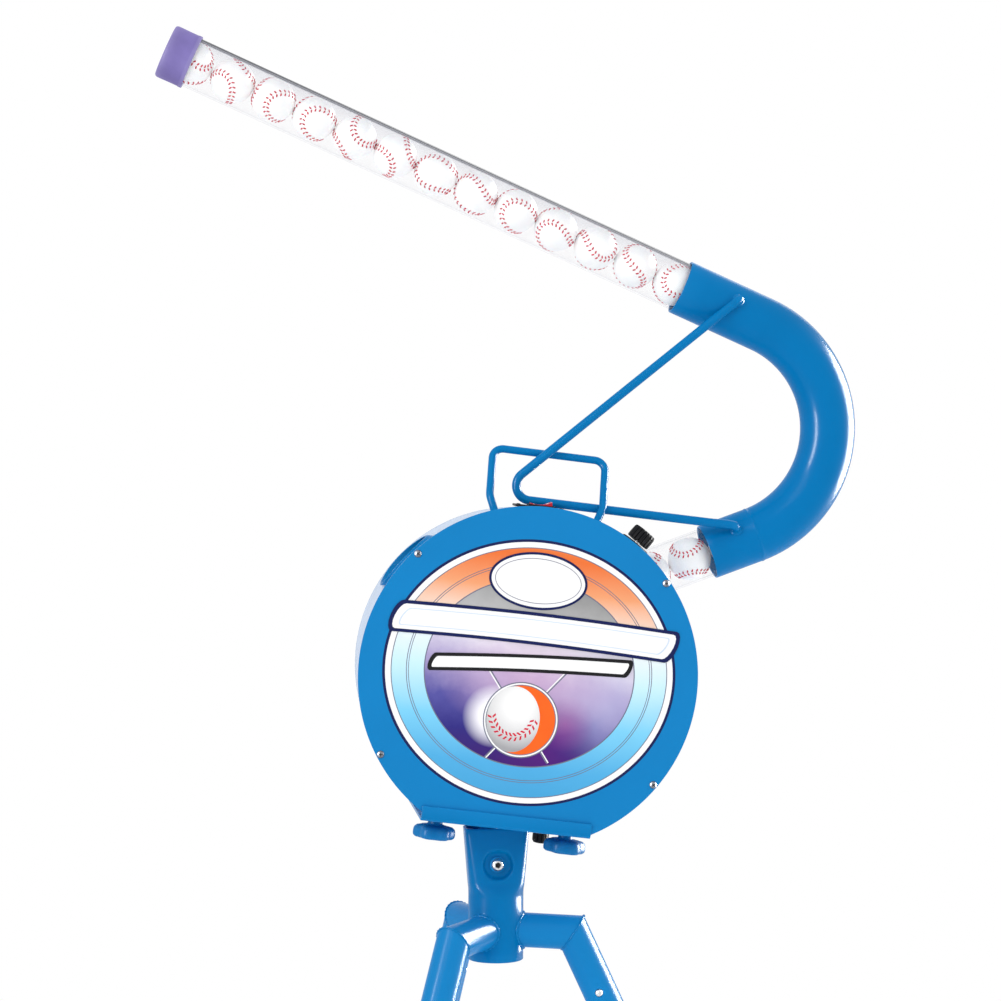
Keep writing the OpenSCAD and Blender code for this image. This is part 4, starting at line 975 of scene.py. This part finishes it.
# ---- Base tray: folded plate with bend radii and rounded corners ----
def folded(half_y, t, low, bend, steps=6):
    """Cross-section in Y and Z of a plate with two lips folded up."""
    outer, inner = [], []
    for side in (1, -1):
        cy, cz = side * (half_y - bend), low + bend
        for k in range(steps + 1):
            c, s = math.cos(TURN / 4 * k / steps), math.sin(TURN / 4 * k / steps)
            for r, points in ((bend, outer), (bend - t, inner)):
                points.append((cy + r * c, cz - r * s) if side > 0 else (cy - r * s, cz - r * c))
    return outer, inner


TRAY_HALF_Y, TRAY_T, LIP_TOP, CHAMFER = 72.5, 2.5, -125, 0.4
outer, inner = folded(TRAY_HALF_Y, TRAY_T, -138.5, 3.6)
crest = [(TRAY_HALF_Y - TRAY_T, LIP_TOP - CHAMFER), (TRAY_HALF_Y - TRAY_T + CHAMFER, LIP_TOP)]
crest += [(TRAY_HALF_Y - CHAMFER, LIP_TOP), (TRAY_HALF_Y, LIP_TOP - CHAMFER)]
section = [crest[-1], *outer, *[(-y, z) for y, z in crest[::-1]], *inner[::-1], *crest[:-1]]
part = bmesh.new()
skin(part, [[(x, y, z) for y, z in section] for x in (-81, 73)])
round_edges(part, edges_across(part, 0), 0.5, 2)
bm = bmesh.new()
join(bm, part, HEAD, 0)
piece("base_tray_folded", "machine", bm, [BLUE], ["base_tray"], 30)

# ---- Exit nozzle: tube trimmed to the drum's curve, with a rolled lip ----
bm = bmesh.new()
NOZZLE_Z, NOZZLE_END = 88.0, 151.5


def nozzle_ring(r, end, inset):
    ring = []
    for j in range(72):
        a = j * TURN / 72
        y, z = r * math.cos(a), NOZZLE_Z + r * math.sin(a)
        x = -math.sqrt(max((NOZZLE_END - inset) ** 2 - z * z, 82**2)) if end else -82.6
        ring.append(HEAD @ Vector((min(x, -82.6), y, z)))
    return ring


lip = ((25.4, 0.6), (25.1, 0.15), (24.5, 0), (23.7, 0.3), (23.4, 0.9))
rings = [nozzle_ring(25.4, False, 0)] + [nozzle_ring(r, True, inset) for r, inset in lip]
rings.append(nozzle_ring(23.4, False, 0))
skin(bm, rings, True)
piece("exit_nozzle_lipped", "machine", bm, [BLUE], ["exit_nozzle"])

# ---- Cord gland ----
GLAND = HEAD @ Matrix.Translation((42, 27, 0))
bm = bmesh.new()


def six_sided(a, corner):
    """Radius of a hexagon's edge at an angle."""
    fold = (a + math.pi / 6) % (math.pi / 3) - math.pi / 6
    return corner * math.cos(math.pi / 6) / math.cos(fold)


def nut(a, r, z):
    return r if r < 9 else min(r, six_sided(a, 9.5))


def fingers(a, r, z):
    return r - (0.5 if r > 6.5 and math.cos(12 * a) > 0.2 else 0.0)


skirt = [(3.62, -158.6), (4.6, -159.8), (6.2, -159.4), (7.4, -157.6), (7.6, -155), (7.6, -144.7)]
skirt.append((3.62, -144.7))
collar = [(3.62, -144.5), (8.6, -144.5), (9.5, -143.6), (9.5, -139.2), (8.9, -138.6), (3.62, -138.6)]
stem = [(3.62, -138.7), (6.0, -138.7), (6.0, -125.4), (5.6, -125), (3.62, -125)]
lock = [(6.05, -130.9), (9.4, -130.9), (9.5, -130.4), (9.5, -127.6), (8.8, -127), (6.05, -127)]
for profile, steps, wave in ((skirt, 96, fingers), (collar, 72, nut), (stem, 48, None), (lock, 72, nut)):
    lathe(bm, GLAND, profile, steps, True, 0, wave)
piece("cord_gland_set", "machine", bm, [BLACK], ["cord_gland"], 30)

# ---- Head post: round tube pressed flat at the top, with a dimple round the bolt ----
POST_R, POST_WALL, POST_LOW, FLAT_LOW, FLAT_TOP = 25.4, 2.5, -89.0, -24.0, 33.0


def squircle(a, hx, hy, power):
    c, s = math.cos(a), math.sin(a)
    return hx * math.copysign(abs(c) ** (2 / power), c), hy * math.copysign(abs(s) ** (2 / power), s)


def post_ring(z, inset, count=168):
    k = min(1.0, max(0.0, (z - FLAT_LOW) / (FLAT_TOP - FLAT_LOW)))
    blend = min(1.0, max(0.0, (z - FLAT_LOW + 6) / 14))
    blend = blend * blend * (3 - 2 * blend)
    hx = POST_R + (30 - POST_R) * k
    hy = POST_R + (21 - 6 * k - POST_R) * blend
    power = 2 + blend * (1.2 + 2.3 * k)
    ring = []
    for i in range(count):
        x, y = squircle(i * TURN / count, hx - inset, hy - inset, power)
        gap = math.hypot(x, z)
        rim = 13.0 if inset == 0 else 10.4
        if gap < 17 and abs(y) > rim:
            s = min(1.0, max(0.0, (gap - 11.8) / 2.6))
            s = s * s * (3 - 2 * s)
            y = math.copysign(rim + (abs(y) - rim) * s, y)
        ring.append(STAND @ Vector((x, y, z)))
    return ring


heights = [POST_LOW + 0.5 + (FLAT_LOW - 8 - POST_LOW) * k / 6 for k in range(7)]
heights += [FLAT_LOW - 7 + 1.0 * k for k in range(int(FLAT_TOP - FLAT_LOW + 6))] + [FLAT_TOP - 0.5]
outside = [post_ring(z, 0) for z in heights]
top = [post_ring(FLAT_TOP, 0.5), post_ring(FLAT_TOP, POST_WALL - 0.4)]
inside = [post_ring(z, POST_WALL) for z in heights[::-1]]
low = [post_ring(POST_LOW, POST_WALL - 0.4), post_ring(POST_LOW, 0.5)]
bm = bmesh.new()
skin(bm, outside + top + inside + low, True)
piece("head_post_pressed", "stand", bm, [BLUE], ["head_post"], 50)

# ---- Pivot bolt: domed head with a hexagon socket ----
BOLT = STAND @ aim((0, 0, 0), (0, -1, 0), (0, 0, 1))
SOCKET_R = 3.3


def socket(a, r, z):
    """The hexagon socket, which is the profile's only part at this radius."""
    return r if abs(r - SOCKET_R) > 0.01 else six_sided(a, 2.9)


bm = bmesh.new()
profile = [(0, -27), (3.4, -27), (4, -26.4), (4, 14.6), (5.7, 14.6), (6.0, 15.1), (5.9, 16), (5.4, 17.4)]
profile += [(4.6, 18.4), (3.8, 18.9), (SOCKET_R, 19.0), (SOCKET_R, 16.6), (0, 16.2)]
lathe(bm, BOLT, profile, 72, False, 0, socket)
# a near-black hexagon inside the socket paints the shade in it
lathe(bm, BOLT, [(0, 16.1), (2.8, 16.1), (2.8, 17.2), (0, 17.2)], 6, False, 1)
piece("pivot_bolt_domed", "stand", bm, [STEEL, RECESS_SHADE], ["pivot_bolt"], 34)

# ---- Along each leg: frame at the arm's corner with +Z down the leg ----
ARM_REACH, ARM_DROP, SPLAY, DROOP = 71.0, -61.0, rad(25), rad(2.5)
ARM_CORNER = ARM_DROP - ARM_REACH * math.tan(DROOP)
LEG_LENGTH = (PIVOT.z * 1000 + ARM_CORNER) / math.cos(SPLAY)
ARM_R, LEG_R = 15.9, 14.2
BUTTON_DOWN, SEAT = 58, 829.5  # down the leg: the snap button, and where the tube ends in its foot


def weld_ring(bm, where, points, r=1.5, shades=0.3):
    radii = [r * (1 + shades * math.sin(i * 2.4)) for i in range(len(points))]
    sweep(bm, where, points, radii, 10, True)


def on_floor(leg, r, lift):
    """A ring round the leg's axis whose points all stand a height above the floor."""
    ring = []
    slope = 1 if (leg @ Vector((10, 0, LEG_LENGTH))).z > 0 else -1
    for i in range(72):
        a = i * TURN / 72
        x = r * math.cos(a)
        z = LEG_LENGTH - lift / math.cos(SPLAY) + slope * x * math.tan(SPLAY)
        ring.append(leg @ Vector((x, r * math.sin(a), z)))
    return ring


for side, turn in (("right", -9), ("front", -129), ("rear", 111)):
    spun = STAND @ Matrix.Rotation(rad(turn), 4, "Z")
    leg = spun @ Matrix.Translation((ARM_REACH, 0, ARM_CORNER)) @ Matrix.Rotation(math.pi - SPLAY, 4, "Y")
    # welds at the post and round the mitre
    bm = bmesh.new()
    stub = Vector((math.cos(DROOP), 0, -math.sin(DROOP)))
    up = Vector((math.sin(DROOP), 0, math.cos(DROOP)))
    saddle, mitre = [], []
    half = (TURN / 4 - SPLAY + DROOP) / 2
    leg_dir = Vector((math.sin(SPLAY), 0, -math.cos(SPLAY)))
    plane = (stub + leg_dir).normalized()
    corner = Vector((ARM_REACH, 0, ARM_CORNER))
    for k in range(72):
        a = k * TURN / 72
        rim = Vector((0, ARM_R * math.cos(a), 0)) + up * ARM_R * math.sin(a)
        start = Vector((0, 0, ARM_DROP)) + rim
        run = (math.sqrt(POST_R**2 - start.y**2) - start.x) / stub.x
        saddle.append(start + stub * run)
        start = corner + rim
        mitre.append(start + stub * ((corner - start).dot(plane) / stub.dot(plane)))
    weld_ring(bm, spun, saddle)
    weld_ring(bm, spun, mitre, 0.9, 0.35)
    piece(f"arm_welds_{side}", "stand", bm, [BLUE], (), 60)
    # snap button: domed pin
    bm = bmesh.new()
    pin = leg @ Matrix.Translation((0, 0, BUTTON_DOWN)) @ Matrix.Rotation(TURN / 4, 4, "X")
    shank = [(0, 8.5), (5, 8.5), (5, 9.9), (3.5, 10)]
    dome = [(3.5, 16.0), (3.35, 16.9), (2.8, 17.8), (1.8, 18.4), (0, 18.65)]
    lathe(bm, pin, shank + dome, 40)
    node = f"snap_button_{side}"
    piece(f"{node}_domed", f"snap_{side}", bm, [STEEL], [node], 34)
    # rubber foot: ribbed boot with a rolled top
    bm = bmesh.new()
    bore = LEG_R + 0.02
    ribbed = [(bore, 803), (LEG_R + 0.5, 800.6), (16.6, 800), (17.6, 800.8), (17.8, 802.5), (16.9, 804.5)]
    for k in range(3):
        z = 808 + 7 * k
        ribbed += [(16.9, z), (17.7, z + 1.2), (17.7, z + 3.4), (16.9, z + 4.6)]
    sole = ((16.9, 5.4), (17.8, 4.0), (17.8, 2.5), (17.3, 0.7), (16.4, 0.0))
    rings = [[leg @ Vector((0, 0, SEAT))], circle(leg, bore, SEAT)]
    rings += [circle(leg, r, z) for r, z in ribbed] + [on_floor(leg, r, lift) for r, lift in sole]
    skin(bm, rings + [[leg @ Vector((0, 0, LEG_LENGTH - 1.2))]])
    piece(f"foot_{side}_ribbed", "stand", bm, [RUBBER], [f"foot_{side}"], 40)
